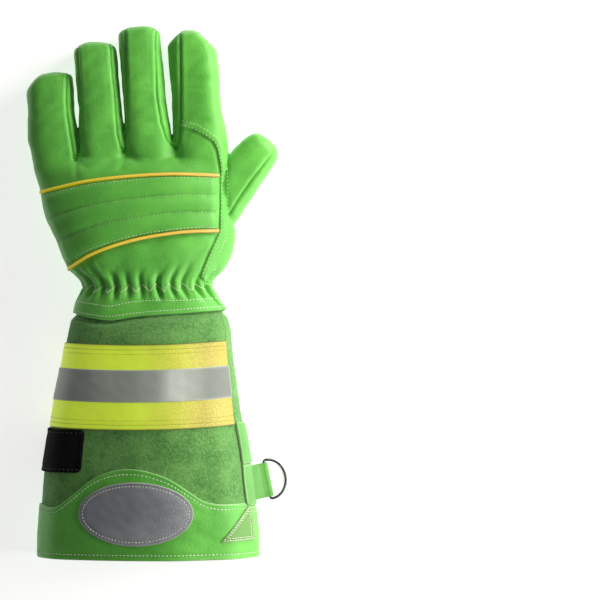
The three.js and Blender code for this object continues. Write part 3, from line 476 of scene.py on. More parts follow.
def join(a, b, width):
    """Two fields as one, with a soft hollow of the given width where they meet."""
    share = np.clip(0.5 + 0.5 * (b - a) / width, 0, 1)
    return mix(b, a, share) - width * share * (1 - share)


def body_field(x, y, z):
    centre, half, bottom, top, mid = section(np.minimum(y, PALM_LENGTH))
    rise = np.where(z > mid, top - mid, mid - bottom)
    end = np.maximum((y - PALM_LENGTH + 6) / 7, 0)
    return rounded_field(((x - centre) / half, (z - mid) / rise, end), (half, rise, 7), SECTION_POWER)


def finger_line(k, y):
    """The middle of a finger across the hand, at y."""
    start = HAND_LEAN + FINGERS["root"][k] * KNUCKLE_WIDTH
    return start + FINGERS["lean"][k] * (y - PALM_LENGTH)


def finger_field(k, x, y, z):
    width, length = FINGERS["width"][k], FINGERS["length"][k]
    height = FINGER_HEIGHT * FINGERS["height"][k]
    mid = height * FINGER_MID
    from_tip = PALM_LENGTH + length - y
    half = width * 0.487 + 1.7 * (1 - smooth(96, 117, y))
    settled = FINGERS["settle"][k] * (1 - smooth(78, 98, y))
    across = (x - finger_line(k, y) - settled) / half
    cut = FINGERS["left"][k] * smooth(-0.2, -1, across) + FINGERS["right"][k] * smooth(0.1, 1, across)
    cut = cut + FINGERS["slant"][k] * (1 - np.clip(across, -1, 1)) / 2
    low = 1 - 0.36 * np.exp(-np.maximum(from_tip, 0) / (0.17 * width))
    crease = 0.035 * bump((from_tip - length * 0.42) / length, 0.05)
    rise = np.where(z > mid, height - mid, mid * 1.04) * low * (1 - crease)
    rise = rise * (1 + FINGERS["tilt"][k] * np.clip(across, -1, 1))
    tip = 0.22 * width
    root = PALM_LENGTH - width * 0.1
    end = np.maximum((tip + cut - from_tip) / tip, 0) + np.maximum((root - y) / 13, 0)
    return rounded_field((across, (z - mid) / rise, end), (half, rise, tip), FINGER_POWER)


def thumb_path():
    """Points of the thumb's centre line in plan, and how far along it each lies."""
    along, turn = THUMB_ROWS["along"] * THUMB_LENGTH, np.radians(THUMB_ROWS["turn"])
    start = np.array([THUMB_START[0] * KNUCKLE_WIDTH, THUMB_START[1] * PALM_LENGTH])
    moves = np.stack([np.sin(turn), np.cos(turn)], 1) * np.diff(along, prepend=0.0)[:, None]
    return start + np.cumsum(moves, 0), along


def thumb_place(x, y):
    """How far along the thumb and how far to its outer side a point lies."""
    path, along = thumb_path()
    best = np.full(x.shape, np.inf)
    place, side = np.zeros(x.shape), np.zeros(x.shape)
    for k in range(len(path) - 1):
        step = path[k + 1] - path[k]
        length = np.linalg.norm(step)
        ahead = ((x - path[k][0]) * step[0] + (y - path[k][1]) * step[1]) / length
        last = k == len(path) - 2
        held = np.clip(ahead, -20 if k == 0 else 0, length + 40 if last else length)
        lateral = ((x - path[k][0]) * step[1] - (y - path[k][1]) * step[0]) / length
        away = np.hypot(lateral, ahead - held)
        near = away < best
        best = np.where(near, away, best)
        place = np.where(near, along[k] + held, place)
        side = np.where(near, lateral, side)
    return place, side


def thumb_field(x, y, z):
    place, side = thumb_place(x, y)
    share = place / THUMB_LENGTH
    half = curve(THUMB_ROWS, "along", "half", share) * THUMB_WIDTH
    mid = THUMB_HEIGHT * FINGER_MID
    rise = np.where(z > mid, THUMB_HEIGHT - mid, mid * 1.04) * curve(THUMB_ROWS, "along", "rise", share)
    tip = 0.3 * THUMB_WIDTH
    end = np.maximum((place - THUMB_LENGTH + tip) / tip, 0) + np.maximum((-18 - place) / 6, 0)
    return rounded_field((side / half, (z - mid) / rise, end), (half, rise, tip), FINGER_POWER)


def hand_field(points):
    x, y, z = points.T
    fingers = finger_field(0, x, y, z)
    for k, along in enumerate(CROTCHES):
        place = along * PALM_LENGTH
        web = 1.2 + 6.5 * (1 - smooth(place - 4, place + 10, y))
        fingers = join(fingers, finger_field(k + 1, x, y, z), web)
    return join(body_field(x, y, z), fingers, 4.5)


def glove_field(points):
    thumb = thumb_field(*points.T)
    return -join(-join(hand_field(points), thumb, 1.2), points[:, 2], 1.0)


def slope(field, points, step=0.25):
    """Direction in which a field grows, with its steepness."""
    found = np.empty_like(points)
    for axis in range(3):
        move = np.zeros(3)
        move[axis] = step
        found[:, axis] = (field(points + move) - field(points - move)) / (2 * step)
    return found


# Seams of the hand, as fields over its surface
def segment_distance(x, y, start, end):
    """Distance to a segment in plan, and the share of it at the nearest point."""
    (ax, ay), (bx, by) = start, end
    dx, dy = bx - ax, by - ay
    t = np.clip(((x - ax) * dx + (y - ay) * dy) / (dx * dx + dy * dy), 0, 1)
    return np.hypot(x - ax - t * dx, y - ay - t * dy), t


def polygon_distance(x, y, corners):
    """Distance to a closed outline in plan, above zero inside."""
    corners = np.asarray(corners, float)
    best = np.full(x.shape, np.inf)
    inside = np.zeros(x.shape, bool)
    for (ax, ay), (bx, by) in zip(corners, np.roll(corners, -1, 0)):
        best = np.minimum(best, segment_distance(x, y, (ax, ay), (bx, by))[0])
        crosses = (ay > y) != (by > y)
        climb = by - ay if abs(by - ay) > 1e-9 else 1e-9
        reach = ax + (y - ay) * (bx - ax) / climb
        inside ^= crosses & (x < reach)
    return np.where(inside, best, -best)


def index_line(shift=0.0, spread=0.0):
    """The index seam in plan, moved towards the thumb side by a distance that grows to the wrist."""
    y = INDEX_SEAM["along"] * PALM_LENGTH
    centre, half, *_ = section(np.minimum(y, PALM_LENGTH))
    line = np.stack([centre + INDEX_SEAM["across"] * half, y], 1)
    way = np.gradient(line, axis=0)
    way /= np.linalg.norm(way, axis=1)[:, None]
    shift = shift + spread * np.linspace(0, 1, len(line))[:, None] ** 4
    return line + shift * np.stack([-way[:, 1], way[:, 0]], 1)


def index_outline():
    """The part of the back, seen from above, that belongs to the index finger's panel."""
    line = index_line()
    past_tip = PALM_LENGTH + 100
    far = finger_line(3, past_tip) - FINGERS["width"][3] * 0.9
    start = [(far, past_tip), (line[0][0] - 9, line[0][1] + 1)]
    return start + [tuple(p) for p in line[1:]] + [*BAND_SEAM, (200, -60), (200, 300)]


def seam_height(y):
    """Height of the seam that parts the back from the palm, at y."""
    mid = section(np.clip(y, -BAND_LENGTH, PALM_LENGTH))[4]
    return mix(mid, FINGER_HEIGHT * FINGER_MID, smooth(0.6, 1, y / PALM_LENGTH))


def band_edge(x, z, row="edge", palm=PALM_BAND_EDGE):
    """The band's lower edge, or its upper row of stitches, on the back and on the palm side."""
    mid = section(-BAND_LENGTH / 2)[4]
    return mix(palm, curve(BAND_EDGE, "x", row, x), smooth(mid - 13, mid, z))


STRIPS = [left + right[1:] for left, right in STRIP_SEAMS]
INDEX_OUTLINE = index_outline()


def seams(points):
    """Fields whose zero lines are the seams, by name."""
    x, y, z = points.T
    side = thumb_place(x, y)[1]
    height = (z - THUMB_HEIGHT * 0.2) / THUMB_HEIGHT
    slant = THUMB_WIDTH * THUMB_SEAM_SHIFT * np.clip(height * 1.6, 0, 1)
    found = {f"strip_{k}": polygon_distance(x, y, STRIPS[k]) for k in range(3)}
    found["index"] = polygon_distance(x, y, INDEX_OUTLINE)
    found["around"] = z - seam_height(y)
    found["low"] = z - STRIP_LOW
    found["front"] = y - FRONT_SEAM * PALM_LENGTH
    between = [(finger_line(a, y) + finger_line(a + 1, y)) / 2 for a in (0, 2)]
    found["front_left"] = x - between[0]
    found["front_right"] = between[1] - x
    found["thumb"] = hand_field(points) - thumb_field(x, y, z)
    found["thumb_middle"] = side - slant
    found["band"] = y - band_edge(x, z)
    return found


PANELS = (
    "back_panel", "index_back", "palm_panel", "middle_ring_front",
    "side_strip_little_ring", "side_strip_ring_middle", "side_strip_middle_index",
    "thumb_back", "thumb_front",
)
BACK, INDEX, PALM, FRONT, STRIP, THUMB_BACK, THUMB_FRONT = 0, 1, 2, 3, 4, 7, 8


def panel_of(points):
    """Which leather panel each point of the hand belongs to."""
    s = seams(points)
    front = (s["front"] > 0) & (s["front_left"] > 0) & (s["front_right"] > 0)
    label = np.where(s["around"] > 0, BACK, np.where(front, FRONT, PALM))
    label = np.where((label == BACK) & (s["index"] > 0), INDEX, label)
    for k in range(3):
        label = np.where((s[f"strip_{k}"] > 0) & (s["low"] > 0), STRIP + k, label)
    thumb = np.where(s["thumb_middle"] < 0, THUMB_BACK, THUMB_FRONT)
    label = np.where(s["thumb"] > 0, thumb, label)
    return np.where(s["band"] < 0, -1, label)


def seam_between(a, b):
    """Name of the field that parts two panels."""
    low, high = min(a, b), max(a, b)
    if low == -1:
        return "band"
    if high >= THUMB_BACK:
        return "thumb_middle" if low >= THUMB_BACK else "thumb"
    if high >= STRIP:
        return f"strip_{high - STRIP}" if low in (BACK, INDEX) else "low"
    if (low, high) == (BACK, INDEX):
        return "index"
    if (low, high) == (PALM, FRONT):
        return "front"
    return "around"


# Meshes from fields
def surface_net(field, low, high, step):
    """Points and quads: one point in each cell that the surface passes through."""
    axes = [np.arange(a, b + step, step) for a, b in zip(low, high)]
    grid = np.stack(np.meshgrid(*axes, indexing="ij"), -1)
    values = field(grid.reshape(-1, 3)).reshape(grid.shape[:3])
    cells = tuple(n - 1 for n in values.shape)
    total, count = np.zeros((*cells, 3)), np.zeros(cells)
    crossings = []
    for axis in range(3):
        a = np.delete(values, -1, axis)
        b = np.delete(values, 0, axis)
        crossing = (a < 0) != (b < 0)
        start = np.argwhere(crossing)
        place = start.astype(float)
        place[:, axis] += a[crossing] / (a[crossing] - b[crossing])
        across = [o for o in range(3) if o != axis]
        ring = []
        for move in ((0, 0), (-1, 0), (-1, -1), (0, -1)):
            cell = start.copy()
            cell[:, across] += move
            ring.append(cell)
            inside = ((cell >= 0) & (cell < cells)).all(1)
            np.add.at(total, tuple(cell[inside].T), place[inside])
            np.add.at(count, tuple(cell[inside].T), 1)
        ahead = a[crossing] < 0
        crossings.append((np.stack(ring, 1), ahead if axis != 1 else ~ahead))
    number = np.full(cells, -1)
    number[count > 0] = np.arange((count > 0).sum())
    points = total[count > 0] / count[count > 0][:, None] * step + np.array(low)
    quads = []
    for ring, ahead in crossings:
        whole = ((ring >= 0) & (ring < cells)).all((1, 2))
        corners = number[tuple(np.moveaxis(ring[whole], -1, 0))]
        quads.append(np.where(ahead[whole][:, None], corners, corners[:, ::-1]))
    return points, np.concatenate(quads)


def seat(points, field, rounds=3):
    """Moves points onto the surface of a field."""
    for _ in range(rounds):
        steep = slope(field, points)
        points = points - (field(points) / np.maximum((steep**2).sum(1), 1e-6))[:, None] * steep
    return points


def eased(points, quads, field, rounds=2):
    """Evens out a mesh on its surface."""
    for _ in range(rounds):
        total, count = np.zeros_like(points), np.zeros(len(points))
        for k in range(4):
            np.add.at(total, quads[:, k], points[quads[:, k - 1]] + points[quads[:, (k + 1) % 4]])
            np.add.at(count, quads[:, k], 2)
        points = seat(mix(points, total / np.maximum(count, 1)[:, None], 0.5), field, 1)
    return points


# Creases of the hand's leather, seen from above: ends in millimetres, depth and width
CREASES = (
    ((-47, 84), (-46, 73), 1.1, 2.2),
    ((-47, 84), (-39, 78), 0.8, 2.4),
    ((-15, 89), (-17, 78), 1.2, 2.4),
    ((-15, 89), (-6, 82), 0.9, 2.4),
    ((-15, 89), (-25, 84), 0.7, 2.6),
    ((18.5, 91), (20, 82), 1.1, 2.4),
    ((18.5, 91), (9, 84), 0.7, 2.6),
    ((-42, 79), (-18, 81), 0.6, 3.4),
    ((-12, 82), (14, 83), 0.5, 3.4),
    ((8, 68), (30, 74), 0.4, 5.0),
)
PALM_CREASES = (
    ((79, 84), (52, 57), 0.9, 1.6),
    ((52, 57), (34, 38), 1.0, 1.8),
    ((34, 38), (22, 12), 1.0, 2.0),
    ((40, 57), (28, 45), 0.8, 1.6),
    ((-62, 79), (-44, 84), 0.8, 1.6),
    ((-40, 60), (12, 66), 0.5, 3.0),
)


# Lines where the fingers bend: which finger, and the share of its length
KNUCKLE_LINES = ((0, 0.5), (1, 0.47), (1, 0.2), (2, 0.5), (2, 0.24), (3, 0.52), (3, 0.27))


def relief(points, normals):
    """How far the leather stands out from the plain form: seams, rolls, gathers and wrinkles."""
    x, y, z = points.T
    s = seams(points)
    flat = np.maximum(np.abs(normals[:, 2]), 0.3)
    steep = np.maximum(np.hypot(normals[:, 0], normals[:, 1]), 0.3)
    on_thumb = s["thumb"] > 0
    high = np.zeros(len(points))
    for k in range(3):
        away = s[f"strip_{k}"] / flat
        seen = (z > FINGER_HEIGHT * 0.4) & ~on_thumb
        high += seen * (-1.0 * bump(away, 0.9) + 0.3 * bump(away + 2.2, 1.6))
        near = (s[f"strip_{k}"] > -1) & (z < FINGER_HEIGHT * 0.4)
        high += near * -0.9 * bump(s["low"] / steep, 1.0)
    in_strip = np.maximum.reduce([s[f"strip_{k}"] for k in range(3)]) > 0
    free = ~in_strip & ~on_thumb & (y > -BAND_LENGTH)
    high += free * -0.9 * bump(s["around"] / steep, 1.0) * smooth(-2, 12, y)
    under = z < seam_height(y)
    across = (s["front_left"] > -1) & (s["front_right"] > -1) & under
    high += across * ~on_thumb * -0.8 * bump(s["front"] / flat, 0.9)
    index = s["index"] / flat
    upper = ~under & ~on_thumb & ~in_strip & (y < PALM_LENGTH * 1.23)
    step = 0.9 * smooth(-0.4, 0.6, index) * (1 - 0.75 * smooth(4, 8, index))
    high += upper * (step - 0.45 * bump(index + 0.9, 0.8) - 0.35 * bump(index - 4.8, 0.7))
    high += on_thumb * -1.0 * bump(s["thumb_middle"], 1.0) * smooth(-6, 4, thumb_place(x, y)[0])
    high += -0.9 * bump(s["thumb"], 1.4) * (y > 8)
    centre, half, bottom, top, mid = section(np.minimum(y, PALM_LENGTH))
    rise = np.where(z > mid, top - mid, mid - bottom)
    up, out = (z - mid) / rise, (x - centre) / half
    angle = np.arctan2(power(up, SECTION_POWER / 2), power(out, SECTION_POWER / 2))
    high += gather(angle, y) * ~on_thumb
    for rows, side in ((CREASES, ~under), (PALM_CREASES, under)):
        for start, end, depth, width in rows:
            away, t = segment_distance(x, y, start, end)
            high -= side * depth * bump(away, width) * (1 - 0.6 * t)
    for k, share in KNUCKLE_LINES:
        level = PALM_LENGTH + FINGERS["length"][k] * share
        across = (x - finger_line(k, y)) / FINGERS["width"][k]
        wave = y - level - 5 * across - 1.2 * np.sin(across * 7 + k)
        high -= 0.3 * bump(wave, 1.6) * bump(across, 0.62) * (y > PALM_LENGTH)
    loose = 1 - 0.7 * smooth(-8, -14, y)
    return high + loose * (0.34 * waves(points, 15, 3) + 0.12 * waves(points, 5.5, 4))


# Blender meshes
def new_object(name, data):
    made = bpy.data.objects.new(name, data)
    bpy.context.scene.collection.objects.link(made)
    return made


def mesh_object(name, points, faces, material, sharp=55):
    """A piece from points in millimetres around the wrist, shaded smooth but for sharp edges."""
    mesh = bpy.data.meshes.new(name)
    place = ((np.asarray(points, float) + WRIST) * MM).tolist()
    mesh.from_pydata(place, [], [tuple(int(i) for i in f) for f in faces])
    mesh.validate()
    mesh.polygons.foreach_set("use_smooth", [True] * len(mesh.polygons))
    mesh.set_sharp_from_angle(angle=math.radians(sharp))
    mesh.materials.append(material)
    return new_object(name, mesh)


def finish_piece(piece, body, slot, *nodes):
    """Says which body a piece rides on and the solids that it stands for; its material slot is not used.
    """
    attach(piece, body)
    if nodes:
        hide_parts(*nodes)


def walled(points, normals, faces, wall):
    """A panel with a wall: its outer faces, the same inside turned round, and a rim."""
    used, local = np.unique(faces, return_inverse=True)
    faces = local.reshape(faces.shape)
    outer, inner = points[used], points[used] - normals[used] * wall
    edges = np.concatenate([faces[:, [k, (k + 1) % 4]] for k in range(4)])
    keys = {tuple(e) for e in edges.tolist()}
    rim = [(b, a, a + len(used), b + len(used)) for a, b in keys if (b, a) not in keys]
    whole = np.concatenate([faces, faces[:, ::-1] + len(used), np.array(rim).reshape(-1, 4)])
    return np.concatenate([outer, inner]), whole


def slab(front, back, wrap=False):
    """Points and faces of a closed sheet between two grids of points, rows by columns."""
    rows, columns = front.shape[:2]
    number = np.arange(rows * columns).reshape(rows, columns)
    if wrap:
        number = np.concatenate([number, number[:, :1]], 1)
    a, b = number[:-1, :-1].ravel(), number[:-1, 1:].ravel()
    c, d = number[1:, 1:].ravel(), number[1:, :-1].ravel()
    under = rows * columns
    faces = [np.stack([a, b, c, d], 1), np.stack([d, c, b, a], 1) + under]
    border = [number[-1]]
    if not wrap:
        border += [number[0, ::-1], number[:, 0], number[::-1, -1]]
    for line in border:
        p, q = line[:-1], line[1:]
        faces.append(np.stack([q, p, p + under, q + under][::-1], 1))
    points = np.concatenate([front.reshape(-1, 3), back.reshape(-1, 3)])
    return points, np.concatenate(faces)


def volume_of(points, faces):
    """Six times the volume in a closed mesh of quads, below zero if it is inside out."""
    a, b, c, d = (points[faces[:, k]] for k in range(4))
    return np.einsum("ij,ij->", a, np.cross(b, c)) + np.einsum("ij,ij->", a, np.cross(c, d))


def closed_piece(name, front, back, material, wrap=False, sharp=55):
    """A closed sheet between two grids; a wrapped one is a disc, with its first row at the middle."""
    points, quads = slab(front, back, wrap)
    faces = [tuple(f) for f in quads.tolist()]
    if wrap:
        middle = range(front.shape[1])
        faces += [tuple(middle)[::-1], tuple(i + len(points) // 2 for i in middle)]
    if volume_of(points, quads) < 0:
        faces = [f[::-1] for f in faces]
    return mesh_object(name, points, faces, material, sharp)


def mark_edges(piece, away, width=0.45):
    """Marks a sheet's cut edge, where the leather or cloth shows another colour."""
    near = 1 - smooth(0.6, 1.4, away.ravel() / width)
    edge = piece.data.attributes.new("edge", "FLOAT", "POINT")
    edge.data.foreach_set("value", np.tile(near, 2))


def steps(length, size, edge):
    """Places from 0 to 1, close together by both ends, where an edge is rounded."""
    e = edge / length
    inner = np.linspace(e, 1 - e, max(int(length / size), 3))
    ends = np.array([0.0, 0.25, 0.6]) * e
    return np.concatenate([ends, inner, 1 - ends[::-1]])


def edge_distance(points, wrap=False):
    """For a grid of points, how far each lies from the grid's border, in millimetres."""
    rows = np.linalg.norm(np.diff(points, axis=0), axis=2)
    down = np.concatenate([np.zeros((1, points.shape[1])), np.cumsum(rows, 0)])
    away = np.minimum(down, down[-1] - down) if not wrap else down[-1] - down
    if not wrap:
        cols = np.linalg.norm(np.diff(points, axis=1), axis=2)
        along = np.concatenate([np.zeros((points.shape[0], 1)), np.cumsum(cols, 1)], 1)
        away = np.minimum(away, np.minimum(along, along[:, -1:] - along))
    return away


def cuff_layer(name, slot, node, places, base, wall, material, wrap=False, stitched=()):
    """A sheet on the cuff from a grid of angles and places, with rounded edges and with a groove
    under each row of stitches, given as a distance from the edge."""
    angle, y = places
    middle = cuff_skin(angle, y, base)
    away = edge_distance(middle, wrap)
    thick = wall * (1 - 0.6 * round_off(away / CUT_EDGE))
    for place in stitched:
        thick = thick - 0.28 * bump(away - place, 0.8)
    grain = 0.06 * waves(middle.reshape(-1, 3), 4, 21).reshape(away.shape)
    front = cuff_skin(angle, y, base + thick + grain)
    piece = closed_piece(name, front, middle, material, wrap)
    mark_edges(piece, away)
    finish_piece(piece, "glove", slot, node)


# Materials
def colour(hex_value):
    """A colour as it looks on screen, as the shader's linear numbers."""
    parts = [int(hex_value[i : i + 2], 16) / 255 for i in (1, 3, 5)]
    return tuple(c / 12.92 if c <= 0.04045 else ((c + 0.055) / 1.055) ** 2.4 for c in parts) + (1.0,)


def add(tree, kind, inputs=None, **settings):
    """Adds a node with its settings; each input is a value or the socket that feeds it."""
    node = tree.nodes.new(kind)
    for name, value in settings.items():
        setattr(node, name, value)
    for name, value in (inputs or {}).items():
        if isinstance(value, bpy.types.NodeSocket):
            tree.links.new(value, node.inputs[name])
        else:
            node.inputs[name].default_value = value
    return node


def new_material(name, constants):
    """A material with its node tree and its shader, which takes the constants."""
    material = bpy.data.materials.new(name)
    material.use_nodes = True
    tree = material.node_tree
    shader = tree.nodes["Principled BSDF"]
    for socket, value in constants.items():
        shader.inputs[socket].default_value = value
    return material, tree, shader


def object_place(tree):
    return add(tree, "ShaderNodeTexCoord").outputs["Object"]


def across_of(tree, place):
    return add(tree, "ShaderNodeSeparateXYZ", {"Vector": place}).outputs["X"]


def marked(tree, name="edge"):
    """A mark on the mesh's points: its cut edge, or a tube's flank."""
    return add(tree, "ShaderNodeAttribute", attribute_name=name).outputs["Fac"]


def noise(tree, place, size, detail=2.0, roughness=0.5):
    """Cloudy noise with spots of a size in millimetres."""
    inputs = {"Vector": place, "Scale": 1 / (size * MM), "Detail": detail, "Roughness": roughness}
    return add(tree, "ShaderNodeTexNoise", inputs).outputs["Fac"]


def cells(tree, place, size, randomness=0.8, feature="F1"):
    """Distance to the nearest of many scattered points, a size in millimetres apart."""
    inputs = {"Vector": place, "Scale": 1 / (size * MM), "Randomness": randomness}
    return add(tree, "ShaderNodeTexVoronoi", inputs, feature=feature).outputs["Distance"]


def times(tree, a, b):
    return add(tree, "ShaderNodeMath", {0: a, 1: b}, operation="MULTIPLY").outputs["Value"]


def spread(tree, value, low, high, start=0.0, end=1.0):
    """A value between two limits, as a number from start to end."""
    inputs = {"Value": value, "From Min": low, "From Max": high, "To Min": start, "To Max": end}
    return add(tree, "ShaderNodeMapRange", inputs).outputs["Result"]


def blend(tree, share, a, b, how="MIX"):
    node = add(tree, "ShaderNodeMix", {0: share, 6: a, 7: b}, data_type="RGBA", blend_type=how)
    return node.outputs[2]


def relief_of(tree, height, depth, under=None):
    """Bump of a depth in millimetres, on top of another bump."""
    inputs = {"Height": height, "Distance": depth * MM, "Strength": 1.0}
    if under is not None:
        inputs["Normal"] = under
    return add(tree, "ShaderNodeBump", inputs).outputs["Normal"]


# Cowhide, drum-dyed and finished with a thin pigment coat: an even, rather dull sheen over a fine
# pebbled grain, slightly darker where the hide is tighter.
def grain_leather(name, light, deep):
    constants = {"IOR": 1.5, "Specular IOR Level": 0.75, "Sheen Weight": 0.25}
    material, tree, shader = new_material(name, constants)
    place = object_place(tree)
    cloud = spread(tree, noise(tree, place, 30, 3, 0.6), 0.32, 0.68)
    fine = spread(tree, noise(tree, place, 2.6, 4, 0.6), 0.35, 0.65)
    base = blend(tree, cloud, colour(deep), colour(light))
    base = blend(tree, 0.16, base, blend(tree, fine, colour(deep), colour(light)))
    base = blend(tree, spread(tree, marked(tree), 0, 1, 0, 0.7), base, colour("#a9cf94"))
    pebbles = relief_of(tree, cells(tree, place, 1.5, 1.0, "SMOOTH_F1"), 0.1)
    tree.links.new(base, shader.inputs["Base Color"])
    tree.links.new(relief_of(tree, noise(tree, place, 0.7, 2), 0.08, pebbles), shader.inputs["Normal"])
    tree.links.new(spread(tree, fine, 0, 1, 0.52, 0.64), shader.inputs["Roughness"])
    return material


# Split cowhide buffed to a nap: quite dull, with fibres that lie in light and dark drifts and
# catch the light at the edges.
def suede(name, light, mid, deep):
    constants = {"Roughness": 0.95, "IOR": 1.4, "Sheen Weight": 0.25, "Sheen Roughness": 0.5}
    material, tree, shader = new_material(name, constants)
    place = object_place(tree)
    drift = spread(tree, noise(tree, place, 12, 4, 0.6), 0.36, 0.64)
    nap = spread(tree, noise(tree, place, 2.2, 5, 0.75), 0.34, 0.66)
    base = blend(tree, drift, colour(deep), colour(mid))
    base = blend(tree, spread(tree, nap, 0.3, 1.0, 0.0, 0.6), base, colour(light))
    tree.links.new(base, shader.inputs["Base Color"])
    under = relief_of(tree, nap, 0.4)
    tree.links.new(relief_of(tree, noise(tree, place, 0.7, 3, 0.7), 0.3, under), shader.inputs["Normal"])
    return material


# Fluorescent polyester tape, woven and coated: it gives back more yellow light than falls on it,
# and its emission paints that in as a glow, bright even in shade. Greenish on the shaded side and
# warmer towards the light, a painted lit tone, with pale dots there that are painted glints.
def fluorescent_tape(name, cool, warm):
    # The emission is a painted glow that keeps the tape bright even in shade.
    constants = {"Roughness": 0.5, "IOR": 1.5, "Emission Strength": 0.45}
    material, tree, shader = new_material(name, constants)
    place = object_place(tree)
    across = across_of(tree, place)
    # Painted lit tone: the colour turns from cool to warm towards the thumb side, where the light falls.
    cloud = noise(tree, place, 30, 2)
    toward_light = add(tree, "ShaderNodeMath", {0: across, 1: spread(tree, cloud, 0, 1, -0.01, 0.01)})
    share = spread(tree, toward_light.outputs["Value"], -0.015, 0.03)
    base = blend(tree, share, colour(cool), colour(warm))
    # Painted glints: pale dots only on the side towards the light.
    dots = spread(tree, cells(tree, place, 1.1), 0.2, 0.45, 0.2, 0.0)
    shown = times(tree, dots, spread(tree, across, -0.02, 0.02))
    base = blend(tree, shown, base, colour("#fff3a0"))
    base = blend(tree, marked(tree), base, colour("#6b6226"))
    tree.links.new(base, shader.inputs["Base Color"])
    tree.links.new(base, shader.inputs["Emission Color"])
    tree.links.new(relief_of(tree, noise(tree, place, 1.2, 3), 0.1), shader.inputs["Normal"])
    return material


# Cloth covered with tiny glass beads: grey with a broken gloss, and scattered pale dots on the
# side towards the light that are painted sparkle. With a glint, one stripe down it is a painted
# highlight; far is how much painted shade darkens it beyond that stripe.
def bead_cloth(name, deep, light, gloss, metal, bead=1.0, glint=0.0, far=0.0):
    material, tree, shader = new_material(name, {"Metallic": metal})
    place = object_place(tree)
    across = across_of(tree, place)
    dots = spread(tree, cells(tree, place, bead), 0.2, 0.45, 0.3, 0.0)
    cloud = spread(tree, noise(tree, place, 26, 2), 0.3, 0.7)
    base = blend(tree, cloud, colour(deep), colour(light))
    # Painted sparkle: pale dots only on the side towards the light.
    base = blend(tree, times(tree, dots, spread(tree, across, -0.02, 0.01)), base, colour("#d5dcd6"))
    # Painted shade: darker beyond the highlight stripe, by far.
    base = blend(tree, spread(tree, across, 0.016, 0.034, 0.0, far), base, colour("#646b65"))
    # Painted highlight: a pale stripe down the cloth, as strong as glint.
    fall = spread(tree, across, 0.01, 0.02, glint, 0)
    base = blend(tree, times(tree, spread(tree, across, 0.001, 0.009), fall), base, colour("#e6ede7"))
    base = blend(tree, marked(tree), base, colour("#b4bab2"))
    tree.links.new(base, shader.inputs["Base Color"])
    fine = noise(tree, place, 1.0, 2, 0.7)
    tree.links.new(relief_of(tree, fine, 0.06), shader.inputs["Normal"])
    tree.links.new(spread(tree, fine, 0.3, 0.7, gloss, gloss + 0.14), shader.inputs["Roughness"])
    return material


# Nylon hook tape: near black, dull between the hooks.
def hook_nylon():
    constants = {"Roughness": 0.85, "IOR": 1.53, "Specular IOR Level": 0.15}
    material, tree, shader = new_material("nylon_hook_tape", constants)
    place = object_place(tree)
    tufts = spread(tree, noise(tree, place, 1.0, 3, 0.7), 0.35, 0.7)
    tree.links.new(blend(tree, tufts, colour("#020203"), colour("#0b0c0d")), shader.inputs["Base Color"])
    tree.links.new(relief_of(tree, tufts, 0.4), shader.inputs["Normal"])
    return material


# Cotton cord in a folded polyester tape: yellow on top, and the tape's dark cut flanges beside it.
def piping_cloth():
    # The emission is a painted glow that keeps the cord bright even in shade.
    constants = {"Roughness": 0.55, "Emission Strength": 0.2}
    material, tree, shader = new_material("polyester_piping", constants)
    place = object_place(tree)
    # Painted lit tone: yellow, warming to peach towards the thumb side, where the light falls.
    share = spread(tree, across_of(tree, place), -0.06, 0.04)
    top = blend(tree, share, colour("#eed92c"), colour("#efb45e"))
    edge = spread(tree, marked(tree, "flank"), 0.72, 0.93)
    tree.links.new(blend(tree, edge, top, colour("#5b4a33")), shader.inputs["Base Color"])
    tree.links.new(top, shader.inputs["Emission Color"])
    tree.links.new(relief_of(tree, noise(tree, place, 0.9, 3), 0.12), shader.inputs["Normal"])
    return material


# Spun polyester thread: soft, pale, with its twist showing as a slight unevenness.
def thread(name, hex_value):
    material, tree, shader = new_material(name, {"Roughness": 0.6})
    place = object_place(tree)
    twist = spread(tree, noise(tree, place, 1.3, 2), 0.3, 0.7, 0.75, 1.0)
    tint = add(tree, "ShaderNodeCombineColor", {"Red": twist, "Green": twist, "Blue": twist})
    base = blend(tree, 1.0, colour(hex_value), tint.outputs["Color"], "MULTIPLY")
    tree.links.new(base, shader.inputs["Base Color"])
    return material


# Steel wire, drawn and nickel-plated, gone dull: dark with bright thin highlights.
def plated_steel():
    material, tree, shader = new_material("plated_steel_wire", {"Metallic": 1.0})
    place = object_place(tree)
    dull = spread(tree, noise(tree, place, 1.8, 3), 0.3, 0.7)
    tree.links.new(blend(tree, dull, colour("#3c3f41"), colour("#5e6264")), shader.inputs["Base Color"])
    tree.links.new(spread(tree, dull, 0, 1, 0.24, 0.4), shader.inputs["Roughness"])
    return material


LEATHER = grain_leather("dyed_grain_cowhide", "#63c73d", "#4cab2d")
OLIVE_LEATHER = grain_leather("olive_grain_cowhide", "#629f3c", "#579233")
# A darker copy of the green leather for the strap, the ring's tab and the leather under it: its darker
# tone is painted shade.
SHADED_LEATHER = grain_leather("shaded_green_grain_cowhide", "#58a83d", "#46942b")
SUEDE = suede("green_split_cowhide", "#84bd6b", "#65a44f", "#4b8a3c")
YELLOW = fluorescent_tape("fluorescent_polyester_tape", "#c0d839", "#a59b3e")
SILVER = bead_cloth("glass_bead_cloth", "#9ea69f", "#adb5ae", 0.5, 0.15, glint=0.35, far=0.75)
OVAL = bead_cloth("grey_bead_cloth", "#878a92", "#989ba2", 0.46, 0.1, 1.2)
HOOK = hook_nylon()
PIPING = piping_cloth()
PALE_THREAD = thread("pale_polyester_thread", "#e4f3d8")
GREEN_THREAD = thread("light_green_polyester_thread", "#c2e4ab")
TAPE_THREAD = thread("olive_polyester_thread", "#8f9326")
GREY_THREAD = thread("grey_polyester_thread", "#565e59")
STEEL = plated_steel()


